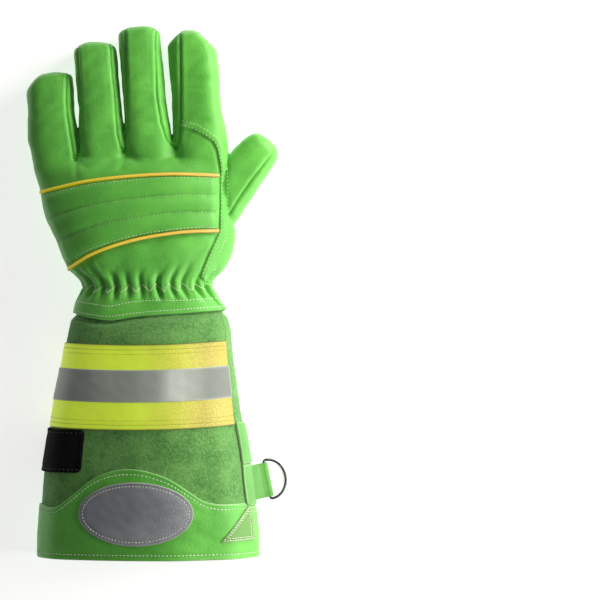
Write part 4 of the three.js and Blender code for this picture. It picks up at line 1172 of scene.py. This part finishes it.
# Leather panels of the hand
def hand_panels():
    """Cuts the hand's surface along its seams into panels with walls; gives back its outside."""
    low, high = (-80.0, -27.0, -2.2), (86.0, 174.0, 45.5)
    points, quads = surface_net(glove_field, low, high, VOXEL)
    points = eased(seat(points, glove_field), quads, glove_field)
    quads = quads[points[quads].mean(1)[:, 1] > low[1] + 2]
    label = panel_of(points[quads].mean(1))
    owners = [set() for _ in points]
    for quad, owner in zip(quads.tolist(), label.tolist()):
        for corner in quad:
            owners[corner].add(owner)
    pairs = np.array([tuple(sorted(o)) if len(o) == 2 else (-9, -9) for o in owners])
    for _ in range(3):
        fields = seams(points)
        for a, b in {tuple(p) for p in pairs.tolist() if p[0] > -9}:
            chosen = (pairs == (a, b)).all(1)
            name = seam_between(a, b)
            here = points[chosen]
            steep = slope(lambda p: seams(p)[name], here)
            off = fields[name][chosen] / np.maximum((steep**2).sum(1), 0.05)
            move = np.clip(off, -VOXEL, VOXEL)[:, None] * steep
            points[chosen] = seat(here - move, glove_field, 1)
    normals = unit(slope(glove_field, points))
    outer = points + normals * relief(points, normals)[:, None]
    outer[:, 2] = np.maximum(outer[:, 2], 0.0)
    kept = label >= 0
    tree = BVHTree.FromPolygons(outer.tolist(), quads[kept].tolist())
    for number, name in enumerate(PANELS):
        shape = walled(outer, normals, quads[label == number], LEATHER_WALL - LAYER_GAP)
        piece = mesh_object(name + "_leather", *shape, LEATHER, 70)
        finish_piece(piece, "glove", "smooth_leather", name)
    return tree


HAND = hand_panels()


# Knuckle pad
def pad_place(share, down, offset):
    """Points over the hand by shares of the pad, from its thumb side and from its top edge."""
    def edge(rows):
        across = mix(rows["across"][0], rows["across"][-1], share)
        return across, curve(rows, "across", "along", across) * PALM_LENGTH

    (a, ay), (b, by) = edge(PAD_TOP), edge(PAD_BOTTOM)
    return skin(angle_at(mix(a, b, down)), mix(ay, by, down), offset)


def pad_thickness(share, down):
    """The pad's height over the hand: three stuffed ribs, drawn in along the rows of stitches."""
    borders, floors = np.array([0.0, *PAD_CHANNELS, 1.0]), np.array([0.12, 0.3, 0.3, 0.12])
    rib = np.clip(np.searchsorted(borders, down, side="right") - 1, 0, 2)
    inside = np.clip((down - borders[rib]) / (borders[rib + 1] - borders[rib]), 0, 1)
    floor = mix(floors[rib], floors[rib + 1], inside)
    ends = np.clip(np.minimum(share, 1 - share) * PAD_WIDTH / 6, 0, 1) ** 0.6
    flat = pad_place(share, down, 0.0)
    shape = flat.shape[:-1]
    flat = flat.reshape(-1, 3)
    uneven = 1 + 0.13 * waves(flat, 15, 31).reshape(shape)
    puff = floor + (1 - floor) * np.sin(inside * np.pi) ** 0.6 * uneven
    phase = share * PAD_WIDTH / 6.5 * 2 * np.pi + 2.2 * waves(flat, 14, 32).reshape(shape)
    by_seam = bump(np.minimum(inside, 1 - inside), 0.22)
    rows = bump((down - 0.065) * PAD_HEIGHT, 0.9) + bump((0.935 - down) * PAD_HEIGHT, 0.9)
    return PATCH_WALL + (PAD_PUFF * puff + 0.08 * np.sin(phase) * by_seam - 0.4 * rows) * ends


def knuckle_pad():
    share = steps(PAD_WIDTH, 0.8, 1.6)[None, :]
    inset = (PIPING_DIAMETER / 2 + LAYER_GAP) / PAD_HEIGHT
    ribs = zip((inset, *PAD_CHANNELS), (*PAD_CHANNELS, 1 - inset))
    down = [np.linspace(a, b, int((b - a) * PAD_HEIGHT / 0.5)) for a, b in ribs]
    share, down = np.broadcast_arrays(share, np.unique(np.concatenate(down))[:, None])
    front = pad_place(share, down, LAYER_GAP + pad_thickness(share, down))
    back = pad_place(share, down, LAYER_GAP)
    pad = closed_piece("knuckle_pad_leather", front, back, LEATHER, sharp=70)
    finish_piece(pad, "glove", "smooth_leather", "knuckle_pad")


knuckle_pad()


# Tubes: pipings and the ring
def tube(name, path, up, radius, material, sides=12, closed=False):
    """A round tube along points; its flank attribute is 0 on top and 1 at its sides."""
    along = np.roll(path, -1, 0) - np.roll(path, 1, 0)
    if not closed:
        along[0], along[-1] = path[1] - path[0], path[-1] - path[-2]
    along = unit(along)
    side = unit(np.cross(along, up))
    top = np.cross(side, along)
    turns = np.linspace(0, 2 * np.pi, sides, endpoint=False)
    ring = side[:, None] * np.cos(turns)[None, :, None] + top[:, None] * np.sin(turns)[None, :, None]
    points = (path[:, None] + radius * ring).reshape(-1, 3)
    count = len(path)
    last = (count - 1) * sides
    faces = [] if closed else [tuple(range(sides))[::-1], tuple(range(last, last + sides))]
    for i in range(count if closed else count - 1):
        here, there = i * sides, (i + 1) % count * sides
        for k in range(sides):
            j = (k + 1) % sides
            faces.append((here + k, here + j, there + j, there + k))
    piece = mesh_object(name, points, faces, material, 80)
    flank = piece.data.attributes.new("flank", "FLOAT", "POINT")
    flank.data.foreach_set("value", np.tile(np.abs(np.cos(turns)), count))
    return piece


def pipings():
    share = np.linspace(0, 1, 90)
    for name, down in (("piping_top", 0.0), ("piping_bottom", 1.0)):
        radius = PIPING_DIAMETER / 2
        path = pad_place(share, down, radius + LAYER_GAP * 2)
        up = unit(pad_place(share, down, radius + 2) - path)
        piece = tube(name + "_cord", path, up, radius, PIPING)
        finish_piece(piece, "glove", "piping", name)


pipings()


# Cuff and the sheets sewn on it
def cuff_grid(start, end, top, low, size=1.1):
    """Angles and places for a sheet between two angles in degrees and two places along the cuff."""
    width = math.radians(abs(end - start)) * TURN_RADIUS
    turn = math.radians(start) + math.radians(end - start) * steps(width, size, CUT_EDGE)
    y = top + (low - top) * steps(abs(top - low), size, CUT_EDGE)
    return np.broadcast_arrays(turn[None, :], y[:, None])


def cuff_panels():
    top = -BAND_LENGTH + TUCK_LENGTH
    gap = 0.28
    for name, start, end in (
        ("cuff_back", SEAM_THUMB, SEAM_LITTLE),
        ("cuff_palm", SEAM_LITTLE + gap, 360 + SEAM_THUMB - gap),
    ):
        angle, y = cuff_grid(start, end, top, -CUFF_LENGTH, 1.15)
        front = cuff_skin(angle, y, 0.0)
        away = edge_distance(front)
        nap = 0.05 * waves(front.reshape(-1, 3), 2.4, 41).reshape(away.shape)
        groove = 0.25 * bump(away - 4.5, 0.9) * (y < -160)
        front = cuff_skin(angle, y, nap - 0.5 * round_off(away / 0.6) - groove)
        back = cuff_skin(angle, y, -SUEDE_WALL)
        piece = closed_piece(name + "_suede", front, back, SUEDE)
        finish_piece(piece, "glove", "suede", name)


cuff_panels()


def tape_sag(angle):
    """The tape hangs a little in the middle of the back and rises to the thumb side."""
    across = skin(angle, -TAPE_PLACE - TAPE_WIDTH / 2)[..., 0] / 55
    return -0.5 + 0.85 * across + 1.9 * np.minimum(across**2, 1)


def tapes():
    angle, y = cuff_grid(TAPE_END, SEAM_LITTLE, -TAPE_PLACE, -TAPE_PLACE - TAPE_WIDTH)
    places = angle, y + tape_sag(angle)
    cuff_layer("yellow_tape", "yellow_tape", "reflective_base", places, LAYER_GAP, TAPE_WALL, YELLOW,
               stitched=(3.2,))
    middle, half = -TAPE_PLACE - TAPE_WIDTH / 2, SILVER_WIDTH / 2
    angle, y = cuff_grid(TAPE_END + 0.4, SEAM_LITTLE, middle + half, middle - half)
    places = angle, y + tape_sag(angle) + 0.8
    cuff_layer("silver_stripe", "silver_tape", "reflective_strip", places, TAPE_OUTER,
               TAPE_WALL * 0.6, SILVER)


tapes()


def wave_top(x):
    """The hem panel's wavy top edge at x."""
    return -CUFF_LENGTH * curve(HEM_WAVE, "across", "along", x / (HEM_WIDTH / 2))


def hem_top(turn):
    """The hem panel's top edge, lower where it goes under the ring's tab."""
    top = wave_top(skin(turn, -CUFF_LENGTH * 0.8)[:, 0])
    past_seam = smooth(SEAM_THUMB - 2, SEAM_THUMB + 4, np.degrees(turn))
    return mix(np.minimum(top, HEM_UNDER_TAB), top, past_seam)


def hem_panel():
    turn = np.radians(mix(HEM_END, SEAM_LITTLE, steps(200, 1.1, CUT_EDGE)))
    down = steps(45, 1.1, CUT_EDGE)[:, None]
    places = np.broadcast_arrays(turn, mix(hem_top(turn), -CUFF_LENGTH, down))
    cuff_layer("hem_leather", "smooth_leather", "hem_panel", places, LAYER_GAP, PATCH_WALL, LEATHER,
               stitched=(3.4,))


hem_panel()


def patch_grid(outline, size=1.0, under=False):
    """A grid from the middle of an outline in plan out to it."""
    middle = outline.mean(0)
    reach = np.linalg.norm(outline - middle, axis=1).mean()
    rows = np.linspace(0.02, 1 - CUT_EDGE / reach, max(int(reach / size), 4))
    rows = np.concatenate([rows, 1 - np.array([0.6, 0.25, 0.0]) * CUT_EDGE / reach])
    plan = middle + (outline - middle)[None] * rows[:, None, None]
    return plan_angle(plan[..., 0], plan[..., 1], under), plan[..., 1]


def resampled(corners, spacing, closed=True):
    """Points at an even spacing along a line of corners."""
    corners = np.asarray(corners, float)
    if closed:
        corners = np.concatenate([corners, corners[:1]])
    way = np.concatenate([[0], np.cumsum(np.linalg.norm(np.diff(corners, axis=0), axis=1))])
    count = max(int(way[-1] / spacing), 3)
    at = np.linspace(0, way[-1], count, endpoint=not closed)
    return np.stack([np.interp(at, way, corners[:, k]) for k in range(corners.shape[1])], 1)


def oval_outline(inset=0.0):
    turn = np.linspace(0, 2 * np.pi, 120, endpoint=False)
    x = OVAL_PLACE[0] * HEM_WIDTH / 2 + (OVAL_WIDTH / 2 - inset) * np.cos(turn)
    y = -OVAL_PLACE[1] * CUFF_LENGTH + (OVAL_HEIGHT / 2 - inset) * np.sin(turn)
    return np.stack([x, y], 1)


def corner_outline(inset=0.0):
    point = np.array([CORNER_PLACE[0] * HEM_WIDTH / 2, -CORNER_PLACE[1] * CUFF_LENGTH])
    corners = point + np.array(CORNER_OUTLINE) * CORNER_PATCH_SIZE
    middle = corners.mean(0)
    return middle + (corners - middle) * (1 - inset)


def vein_outline(inset=0.0):
    middle, top = VEIN_PATCH_WIDTH * VEIN_SHIFT, -BAND_LENGTH - LAYER_GAP * 2
    turn = np.linspace(0, np.pi, 90)
    x = (VEIN_PATCH_WIDTH / 2 - inset) * power(np.cos(turn), VEIN_POWER)
    y = (VEIN_PATCH_LENGTH - inset) * power(np.maximum(np.sin(turn), 0), VEIN_POWER)
    return np.stack([middle + x, top - y], 1)


def patches():
    over_hem = PATCH_OUTER + LAYER_GAP
    cuff_layer("oval_cloth", "oval_cloth", "oval_patch", patch_grid(oval_outline()),
               over_hem, TAPE_WALL, OVAL, wrap=True, stitched=(2.6,))
    places = patch_grid(resampled(corner_outline(), 1.0), 0.8)
    cuff_layer("corner_leather", "smooth_leather", "corner_patch", places,
               over_hem, TAPE_WALL, OLIVE_LEATHER, wrap=True, stitched=(1.8,))
    places = patch_grid(resampled(vein_outline(), 1.2), under=True)
    cuff_layer("vein_leather", "smooth_leather", "vein_patch", places,
               LAYER_GAP, PATCH_WALL, LEATHER, wrap=True, stitched=(2.6,))


patches()


def hook_corner(degrees):
    """How far the hook strip's edge draws in at its rounded corners."""
    away = np.minimum(degrees - HOOK_START, HOOK_END - degrees) * math.radians(TURN_RADIUS)
    return HOOK_CORNER * round_off(away / HOOK_CORNER)


def hook_lift(degrees):
    """How far off the cuff the hook strip lies, and its thickness, less where the strap lies on it."""
    over = smooth(SEAM_LITTLE - 6, BACKING_START - 1, degrees)
    return LAYER_GAP + PATCH_OUTER * over, PATCH_WALL + 0.6 * (1 - smooth(185, 205, degrees))


def closure():
    middle, half = -HOOK_PLACE - HOOK_WIDTH / 2, BACKING_WIDTH / 2
    places = cuff_grid(BACKING_START, BACKING_END, middle + half, middle - half)
    cuff_layer("backing_leather", "smooth_leather", "closure_backing", places, LAYER_GAP, PATCH_WALL,
               LEATHER)
    angle, y = cuff_grid(HOOK_START, HOOK_END, HOOK_WIDTH / 2, -HOOK_WIDTH / 2)
    y = middle + y * (1 - (hook_corner(np.degrees(angle)) + HOOK_FRAY) / (HOOK_WIDTH / 2))
    lift, wall = hook_lift(np.degrees(angle))
    cuff_layer("hook_tape", "hook_tape", "hook_strip", (angle, y), lift, wall, HOOK, stitched=(2.2,))


closure()


def strap_base(degrees):
    """How far off the cuff the strap lies: over the hook strip, over its backing, on the cuff."""
    on_hook = 1 - smooth(HOOK_END + 2, HOOK_END + 14, degrees)
    on_backing = 1 - smooth(BACKING_END + 2, BACKING_END + 14, degrees)
    return LAYER_GAP + PATCH_OUTER * (on_hook + on_backing)


STRAP_END = section(-STRAP_PLACE)[1] * 0.82
STRAP_TIP = STRAP_END - STRAP_LENGTH


def strap_half(x):
    """Half the strap's width at x: round corners at its tip, shoulders down to its narrow root."""
    full = STRAP_WIDTH / 2 - STRAP_CORNER * round_off((x - STRAP_TIP) / STRAP_CORNER)
    return mix(full, STRAP_ROOT_WIDTH / 2, smooth(STRAP_END - 5, STRAP_END + 4, x))


def strap():
    tip_angle = plan_angle(STRAP_TIP, -STRAP_PLACE, True)
    turn = mix(tip_angle, math.radians(360 + SEAM_THUMB - 0.4), steps(112, 0.8, 0.6))
    x = np.where(turn > 2 * np.pi, STRAP_END + STRAP_LENGTH, skin(turn, -STRAP_PLACE)[:, 0])
    across = (steps(STRAP_WIDTH, 0.9, 0.6)[:, None] - 0.5) * 2
    angle, y = np.broadcast_arrays(turn, -STRAP_PLACE - across * strap_half(x))
    base = strap_base(np.degrees(angle))
    cuff_layer("strap_leather", "smooth_leather", "strap", (angle, y), base, STRAP_WALL, SHADED_LEATHER)


strap()


def tab_root():
    """Smooth leather that goes on below the strap's root, under the ring's tab."""
    low = -STRAP_PLACE - STRAP_ROOT_WIDTH / 2 - 0.5
    places = cuff_grid(SEAM_THUMB - 0.6, TAB_ROOT_END, low, HEM_UNDER_TAB + 0.6)
    cuff_layer("tab_root_leather", "smooth_leather", "ring_tab", places, LAYER_GAP, PATCH_WALL,
               SHADED_LEATHER)


tab_root()


# Ring and its tab, around the joint that the ring swings on
JOINT = frame["joints"][0]
BAR = np.array(JOINT["pos_m"]) / MM - WRIST
BAR_WAY = unit(np.array(JOINT["axis"], float))
OUT_WAY = np.cross(BAR_WAY, (0, 0, 1))


def dropped_way(droop):
    """The way out from the bar, turned down by an angle."""
    return OUT_WAY * math.cos(droop) - np.array([0, 0, 1]) * math.sin(droop)


def d_ring():
    """A wire bent round through the bar, a corner, the bow and the other corner."""
    half = (RING_WIDTH - RING_WIRE) / 2
    bow = RING_DEPTH - RING_WIRE / 2 - RING_CORNER
    quarter = np.linspace(0, np.pi / 2, 6)[:-1]
    corner = RING_CORNER * (1 - np.stack([np.cos(quarter), np.sin(quarter)], 1))
    corner[:, 1] = half - corner[:, 1]
    turn = np.linspace(0, np.pi, 60)
    arc = np.stack([RING_CORNER + bow * np.sin(turn), half * np.cos(turn)], 1)
    bar = np.linspace(-half + RING_CORNER, half - RING_CORNER, 14)[1:-1]
    line = np.concatenate([np.stack([0 * bar, bar], 1), corner, arc, corner[::-1] * (1, -1)])
    path = BAR + np.outer(line[:, 0], dropped_way(RING_DROOP)) + np.outer(line[:, 1], BAR_WAY)
    up = np.tile(np.cross(BAR_WAY, OUT_WAY) * -1.0, (len(path), 1))
    piece = tube("d_ring_wire", path, up, RING_WIRE / 2, STEEL, 14, closed=True)
    finish_piece(piece, "ring", "steel", "d_ring")


d_ring()


def ring_tab():
    """A strip of leather folded round the bar, its two layers lying on each other."""
    hole = RING_WIRE / 2 + LAYER_GAP
    turn = np.radians(np.linspace(118, -118, 19))
    flat = np.linspace(-TAB_LENGTH - 3, -4, 16)
    thick = PATCH_WALL + LAYER_GAP / 2

    def profile(radius, half):
        top = np.stack([flat, np.full_like(flat, half)], 1)
        loop = radius * np.stack([np.cos(turn), np.sin(turn)], 1)
        return np.concatenate([top, loop, (top * (1, -1))[::-1]])

    across = (steps(TAB_WIDTH, 1.2, CUT_EDGE) - 0.5) * TAB_WIDTH
    away = np.minimum(across + TAB_WIDTH / 2, TAB_WIDTH / 2 - across)
    way = dropped_way(TAB_DROOP)
    lift = np.cross(way, BAR_WAY)

    def sheet(outline, shrink):
        high = np.sign(outline[:, 1]) * (np.abs(outline[:, 1]) - shrink[:, None])
        return BAR + outline[:, :1] * way + high[..., None] * lift + across[:, None, None] * BAR_WAY

    shrink = 0.35 * round_off(away / CUT_EDGE)
    front = sheet(profile(hole + PATCH_WALL, thick), shrink)
    back = sheet(profile(hole, LAYER_GAP / 2), 0 * shrink)
    piece = closed_piece("tab_leather", front, back, SHADED_LEATHER)
    finish_piece(piece, "glove", "smooth_leather", "ring_tab")


ring_tab()


# Stitches, laid along lines on the surface by geometry nodes
def stitch_tree():
    tree = bpy.data.node_groups.new("Stitches", "GeometryNodeTree")
    sockets = tree.interface
    sockets.new_socket("Geometry", in_out="INPUT", socket_type="NodeSocketGeometry")
    for name in ("Pitch", "Stitch length", "Thread width", "Thread height"):
        sockets.new_socket(name, in_out="INPUT", socket_type="NodeSocketFloat")
    sockets.new_socket("Thread", in_out="INPUT", socket_type="NodeSocketMaterial")
    sockets.new_socket("Geometry", in_out="OUTPUT", socket_type="NodeSocketGeometry")
    given = add(tree, "NodeGroupInput").outputs
    line = add(tree, "GeometryNodeMeshToCurve", {"Mesh": given["Geometry"]})
    even = add(tree, "GeometryNodeResampleCurve", {"Curve": line.outputs["Curve"]}, mode="LENGTH")
    tree.links.new(given["Pitch"], even.inputs["Length"])
    shape = {"Segments": 6, "Rings": 5, "Radius": 0.5}
    bead = add(tree, "GeometryNodeMeshUVSphere", shape)
    smooth_bead = add(tree, "GeometryNodeSetShadeSmooth", {"Geometry": bead.outputs["Mesh"]})
    tangent = add(tree, "GeometryNodeInputTangent").outputs["Tangent"]
    up = add(tree, "GeometryNodeInputNamedAttribute", {"Name": "up"}, data_type="FLOAT_VECTOR")
    along = add(tree, "FunctionNodeAlignRotationToVector", {"Vector": tangent}, axis="X")
    lying = add(
        tree,
        "FunctionNodeAlignRotationToVector",
        {"Rotation": along.outputs["Rotation"], "Vector": up.outputs["Attribute"]},
        axis="Z",
        pivot_axis="X",
    )
    size = add(
        tree,
        "ShaderNodeCombineXYZ",
        {"X": given["Stitch length"], "Y": given["Thread width"], "Z": given["Thread height"]},
    )
    placed = add(
        tree,
        "GeometryNodeInstanceOnPoints",
        {
            "Points": even.outputs["Curve"],
            "Instance": smooth_bead.outputs["Geometry"],
            "Rotation": lying.outputs["Rotation"],
            "Scale": size.outputs["Vector"],
        },
    )
    real = add(tree, "GeometryNodeRealizeInstances", {"Geometry": placed.outputs["Instances"]})
    painted = add(tree, "GeometryNodeSetMaterial", {"Geometry": real.outputs["Geometry"]})
    tree.links.new(given["Thread"], painted.inputs["Material"])
    add(tree, "NodeGroupOutput", {"Geometry": painted.outputs["Geometry"]})
    return tree


STITCHES = stitch_tree()


def made_by(tree, source, name, settings):
    """The result of a geometry node tree on an object, as a plain mesh piece."""
    modifier = source.modifiers.new("made", "NODES")
    modifier.node_group = tree
    for item in tree.interface.items_tree:
        if item.name in settings and item.in_out == "INPUT":
            modifier[item.identifier] = settings[item.name]
    evaluated = source.evaluated_get(bpy.context.evaluated_depsgraph_get())
    piece = new_object(name, bpy.data.meshes.new_from_object(evaluated))
    bpy.data.objects.remove(source)
    return piece


def stitches(name, rows, thread_material, slot, pitch, length, width):
    """One piece with rows of stitches; each row is its points and the surface's normals there."""
    points, edges, ups = [], [], []
    for line, up in rows:
        start = len(points)
        points.extend(((line + WRIST) * MM).tolist())
        ups.extend(up.tolist())
        edges.extend((start + i, start + i + 1) for i in range(len(line) - 1))
    mesh = bpy.data.meshes.new(name + "_lines")
    mesh.from_pydata(points, edges, [])
    attribute = mesh.attributes.new("up", "FLOAT_VECTOR", "POINT")
    attribute.data.foreach_set("vector", np.array(ups, float).ravel())
    sizes = {
        "Pitch": pitch * MM,
        "Stitch length": length * MM,
        "Thread width": width * MM,
        "Thread height": width * 0.75 * MM,
        "Thread": thread_material,
    }
    piece = made_by(STITCHES, new_object(name + "_lines", mesh), name, sizes)
    finish_piece(piece, "glove", slot)


def looped(line):
    return np.concatenate([line, line[:1]])


def on_cuff(angle, y, offset):
    """Points on the cuff at an offset, with the directions away from its surface."""
    angle, y = np.broadcast_arrays(angle, y)
    line = cuff_skin(angle, y, offset)
    return line, unit(cuff_skin(angle, y, offset + 1.0) - line)


def hits(found):
    """The points and directions in a list of what the hand's tree found."""
    found = [f for f in found if f[0] is not None]
    return np.array([f[0] for f in found]), np.array([f[1] for f in found])


def on_hand(points):
    """The nearest points of the hand's leather, with its directions."""
    return hits([HAND.find_nearest(Vector(p)) for p in points])


def dropped(plan):
    """Points of the hand straight below points in plan, with its directions."""
    return hits([HAND.ray_cast(Vector((x, y, 90)), Vector((0, 0, -1))) for x, y in plan])


def pad_row(down):
    """A row of stitches across the pad, at a share of the way down it."""
    share = np.linspace(0.02, 0.98, 140)
    offset = LAYER_GAP + pad_thickness(share, down) + 0.2
    line = pad_place(share, down, offset)
    return line, unit(pad_place(share, down, offset + 1) - line)


def hand_stitches():
    rows = [pad_row(down) for down in (0.065, *PAD_CHANNELS, 0.935)]
    stitches("stitches_pad", rows, GREEN_THREAD, "smooth_leather", 2.4, 1.7, 0.65)
    inner = dropped(resampled(index_line(1.0, 0.3), 1.0, closed=False))
    outer = dropped(resampled(index_line(4.0, 4.0), 1.0, closed=False))
    stitches("stitches_index", [inner, outer], GREEN_THREAD, "smooth_leather", 2.5, 1.7, 0.65)


hand_stitches()


def band_stitches():
    turn = np.linspace(0, 2 * np.pi, 260)
    rows = []
    level = skin(turn, -BAND_LENGTH / 2)
    for row, palm, move in (("row", PALM_BAND_ROW, 0.0), ("edge", PALM_BAND_EDGE, 2.3)):
        y = band_edge(level[:, 0], level[:, 2], row, palm) + move
        rows.append(on_hand(skin(turn, y)))
    for shift in (1.8, 4.0):
        x, y = resampled(BAND_SEAM[:4], 1.0, False).T + np.array([[1.0], [0.4]]) * shift
        rows.append(on_hand(skin(plan_angle(x, y), y)))
    stitches("stitches_band", rows, PALE_THREAD, "smooth_leather", 2.2, 1.5, 0.65)
    share = np.arange(GATHERS * 8 + 1) / 8
    turn = np.interp(share / GATHERS, wrist_share(ROUND[:-1]), ROUND[:-1])
    lean = 0.035 * skin(turn, 0.0)[:, 0] * np.sin(turn)
    level = ZIGZAG / 2 * (4 * np.abs(share % 1 - 0.5) - 1) + lean
    row = on_hand(skin(turn, level))
    stitches("stitches_zigzag", [row], GREEN_THREAD, "smooth_leather", 1.5, 1.7, 0.9)


band_stitches()


def cuff_stitches():
    turn = np.radians(np.linspace(HEM_END + 2, SEAM_LITTLE - 2, 200))
    on_panel = PATCH_OUTER + 0.05
    palm = np.radians(np.linspace(SEAM_LITTLE + 2, 360 + HEM_END - 2, 190))
    rows = [
        on_cuff(turn, hem_top(turn) - 3.4, on_panel),
        on_cuff(turn, -CUFF_LENGTH + 3.6, on_panel),
        on_cuff(palm, -CUFF_LENGTH + 4.5, 0.0),
    ]
    stitches("stitches_hem", rows, PALE_THREAD, "smooth_leather", 2.5, 1.8, 0.68)
    on_patch = PATCH_OUTER + LAYER_GAP + TAPE_WALL
    x, y = looped(oval_outline(2.6)).T
    row = on_cuff(plan_angle(x, y), y, on_patch)
    stitches("stitches_oval", [row], PALE_THREAD, "oval_cloth", 2.2, 1.5, 0.65)
    rows = []
    for inset in (0.13, 0.29):
        x, y = looped(resampled(corner_outline(inset), 1.0)).T
        rows.append(on_cuff(plan_angle(x, y), y, on_patch))
    stitches("stitches_corner", rows, PALE_THREAD, "smooth_leather", 2.0, 1.7, 0.65)


cuff_stitches()


def tape_stitches():
    turn = np.radians(np.linspace(TAPE_END + 2, SEAM_LITTLE - 2, 190))
    rows = []
    for down in (3.2, 6.0, TAPE_WIDTH - 3.2, TAPE_WIDTH - 6.0):
        rows.append(on_cuff(turn, tape_sag(turn) - TAPE_PLACE - down, TAPE_OUTER - 0.05))
    stitches("stitches_tape", rows, TAPE_THREAD, "yellow_tape", 2.0, 1.4, 0.45)


tape_stitches()


def palm_stitches():
    x, y = vein_outline(2.6)[2:-2].T
    rows = [on_cuff(plan_angle(x, y, True), y, PATCH_OUTER)]
    left, right = STRAP_TIP + 12.5, STRAP_END - 8.0
    low, high = -STRAP_PLACE - 10.8, -STRAP_PLACE + 10.8
    box = looped(resampled([(left, low), (right, low), (right, high), (left, high)], 1.0)).T
    reach = np.linspace(right, section(-STRAP_PLACE)[1] * 0.97, 24)
    for x, y in (box, (reach, low), (reach, high)):
        angle = plan_angle(x, y, True)
        rows.append(on_cuff(angle, y, strap_base(np.degrees(angle)) + STRAP_WALL))
    stitches("stitches_strap", rows, PALE_THREAD, "smooth_leather", 2.5, 1.8, 0.68)
    turn = np.radians(np.linspace(HOOK_START + 2, HOOK_END - 2, 170))
    lift, wall = hook_lift(np.degrees(turn))
    rows = []
    for down in (2.2, HOOK_WIDTH - 2.2):
        rows.append(on_cuff(turn, -HOOK_PLACE - down, lift + wall - 0.1))
    stitches("stitches_hook", rows, GREY_THREAD, "hook_tape", 3.0, 1.7, 0.5)


def hook_bristles():
    """Frayed nylon hooks that stand out round the strip's edge."""
    rng = np.random.default_rng(7)
    middle, half = -HOOK_PLACE - HOOK_WIDTH / 2, HOOK_WIDTH / 2
    rows = []
    turn = np.linspace(HOOK_START, 215, 150)
    lift, wall = hook_lift(turn)
    y = np.linspace(middle - half + HOOK_CORNER, middle + half - HOOK_CORNER, 40)
    for out, share in ((0.0, 0.3), (0.25, 0.6), (0.45, 0.45), (0.1, 0.9), (-0.5, 1.0)):
        for side in (-1, 1):
            loose = rng.uniform(-0.25, 0.25, len(turn))
            reach = half - HOOK_FRAY - hook_corner(turn) + out + loose
            rows.append(on_cuff(np.radians(turn), middle + side * reach, lift + wall * share))
        back = np.radians(HOOK_START) - (out + rng.uniform(-0.25, 0.25, len(y))) / TURN_RADIUS
        rows.append(on_cuff(back, y, lift[0] + wall[0] * share))
    stitches("bristles_hook", rows, HOOK, "hook_tape", 0.75, 0.5, 0.34)


palm_stitches()
hook_bristles()


# Stage, light and camera
def stage():
    """An evenly lit white table under the glove, a hair below it."""
    mesh = bpy.data.meshes.new("floor")
    half = 6.0
    corners = [(-half, -half, 0), (half, -half, 0), (half, half, 0), (-half, half, 0)]
    mesh.from_pydata(corners, [], [(0, 1, 2, 3)])
    floor = new_object("floor", mesh)
    paint, _, _ = new_material("opal_acrylic_light_table", {
        "Base Color": colour("#e6e6e6"),
        "Emission Color": colour("#ffffff"),
        "Emission Strength": 0.7,
        "Roughness": 0.9,
    })
    mesh.materials.append(paint)
    floor.location.z = -0.2 * MM


stage()


def area_light(name, place, target, size, energy, tint):
    data = bpy.data.lights.new(name, "AREA")
    data.shape = "RECTANGLE"
    data.size, data.size_y = size
    data.energy = energy
    data.color = colour(tint)[:3]
    light = new_object(name, data)
    light.location = place
    way = Vector(target) - Vector(place)
    light.rotation_euler = way.to_track_quat("-Z", "Y").to_euler()


def lights():
    area_light("key", (0.27, 0.26, 0.16), (0.0, 0.09, 0.02), (0.26, 0.16), 1.6, "#fffaf2")
    area_light("cuff", (0.3, -0.13, 0.17), (0.0, -0.1, 0.02), (0.26, 0.16), 1.15, "#fffaf2")
    area_light("top", (0.4, 0.2, 1.5), (0, 0, 0.02), (1.0, 1.0), 0.8, "#ffffff")
    world = bpy.data.worlds.new("pale_room")
    world.use_nodes = True
    world.node_tree.nodes["Background"].inputs["Color"].default_value = colour("#ffffff")
    world.node_tree.nodes["Background"].inputs["Strength"].default_value = 0.15
    bpy.context.scene.world = world
    bpy.context.scene.view_settings.view_transform = "Standard"


lights()


def camera():
    """Looks straight down on the glove, so far off that the picture is view_width millimetres wide
    at the height of the glove's middle."""
    view_width = 390.0
    focal, sensor = 150.0, 36.0
    data = bpy.data.cameras.new("camera")
    data.lens = focal
    data.sensor_width = sensor
    eye = new_object("camera", data)
    eye.location = (0.0922, -0.0053, (view_width * focal / sensor + 25) * MM)
    bpy.context.scene.camera = eye


camera()
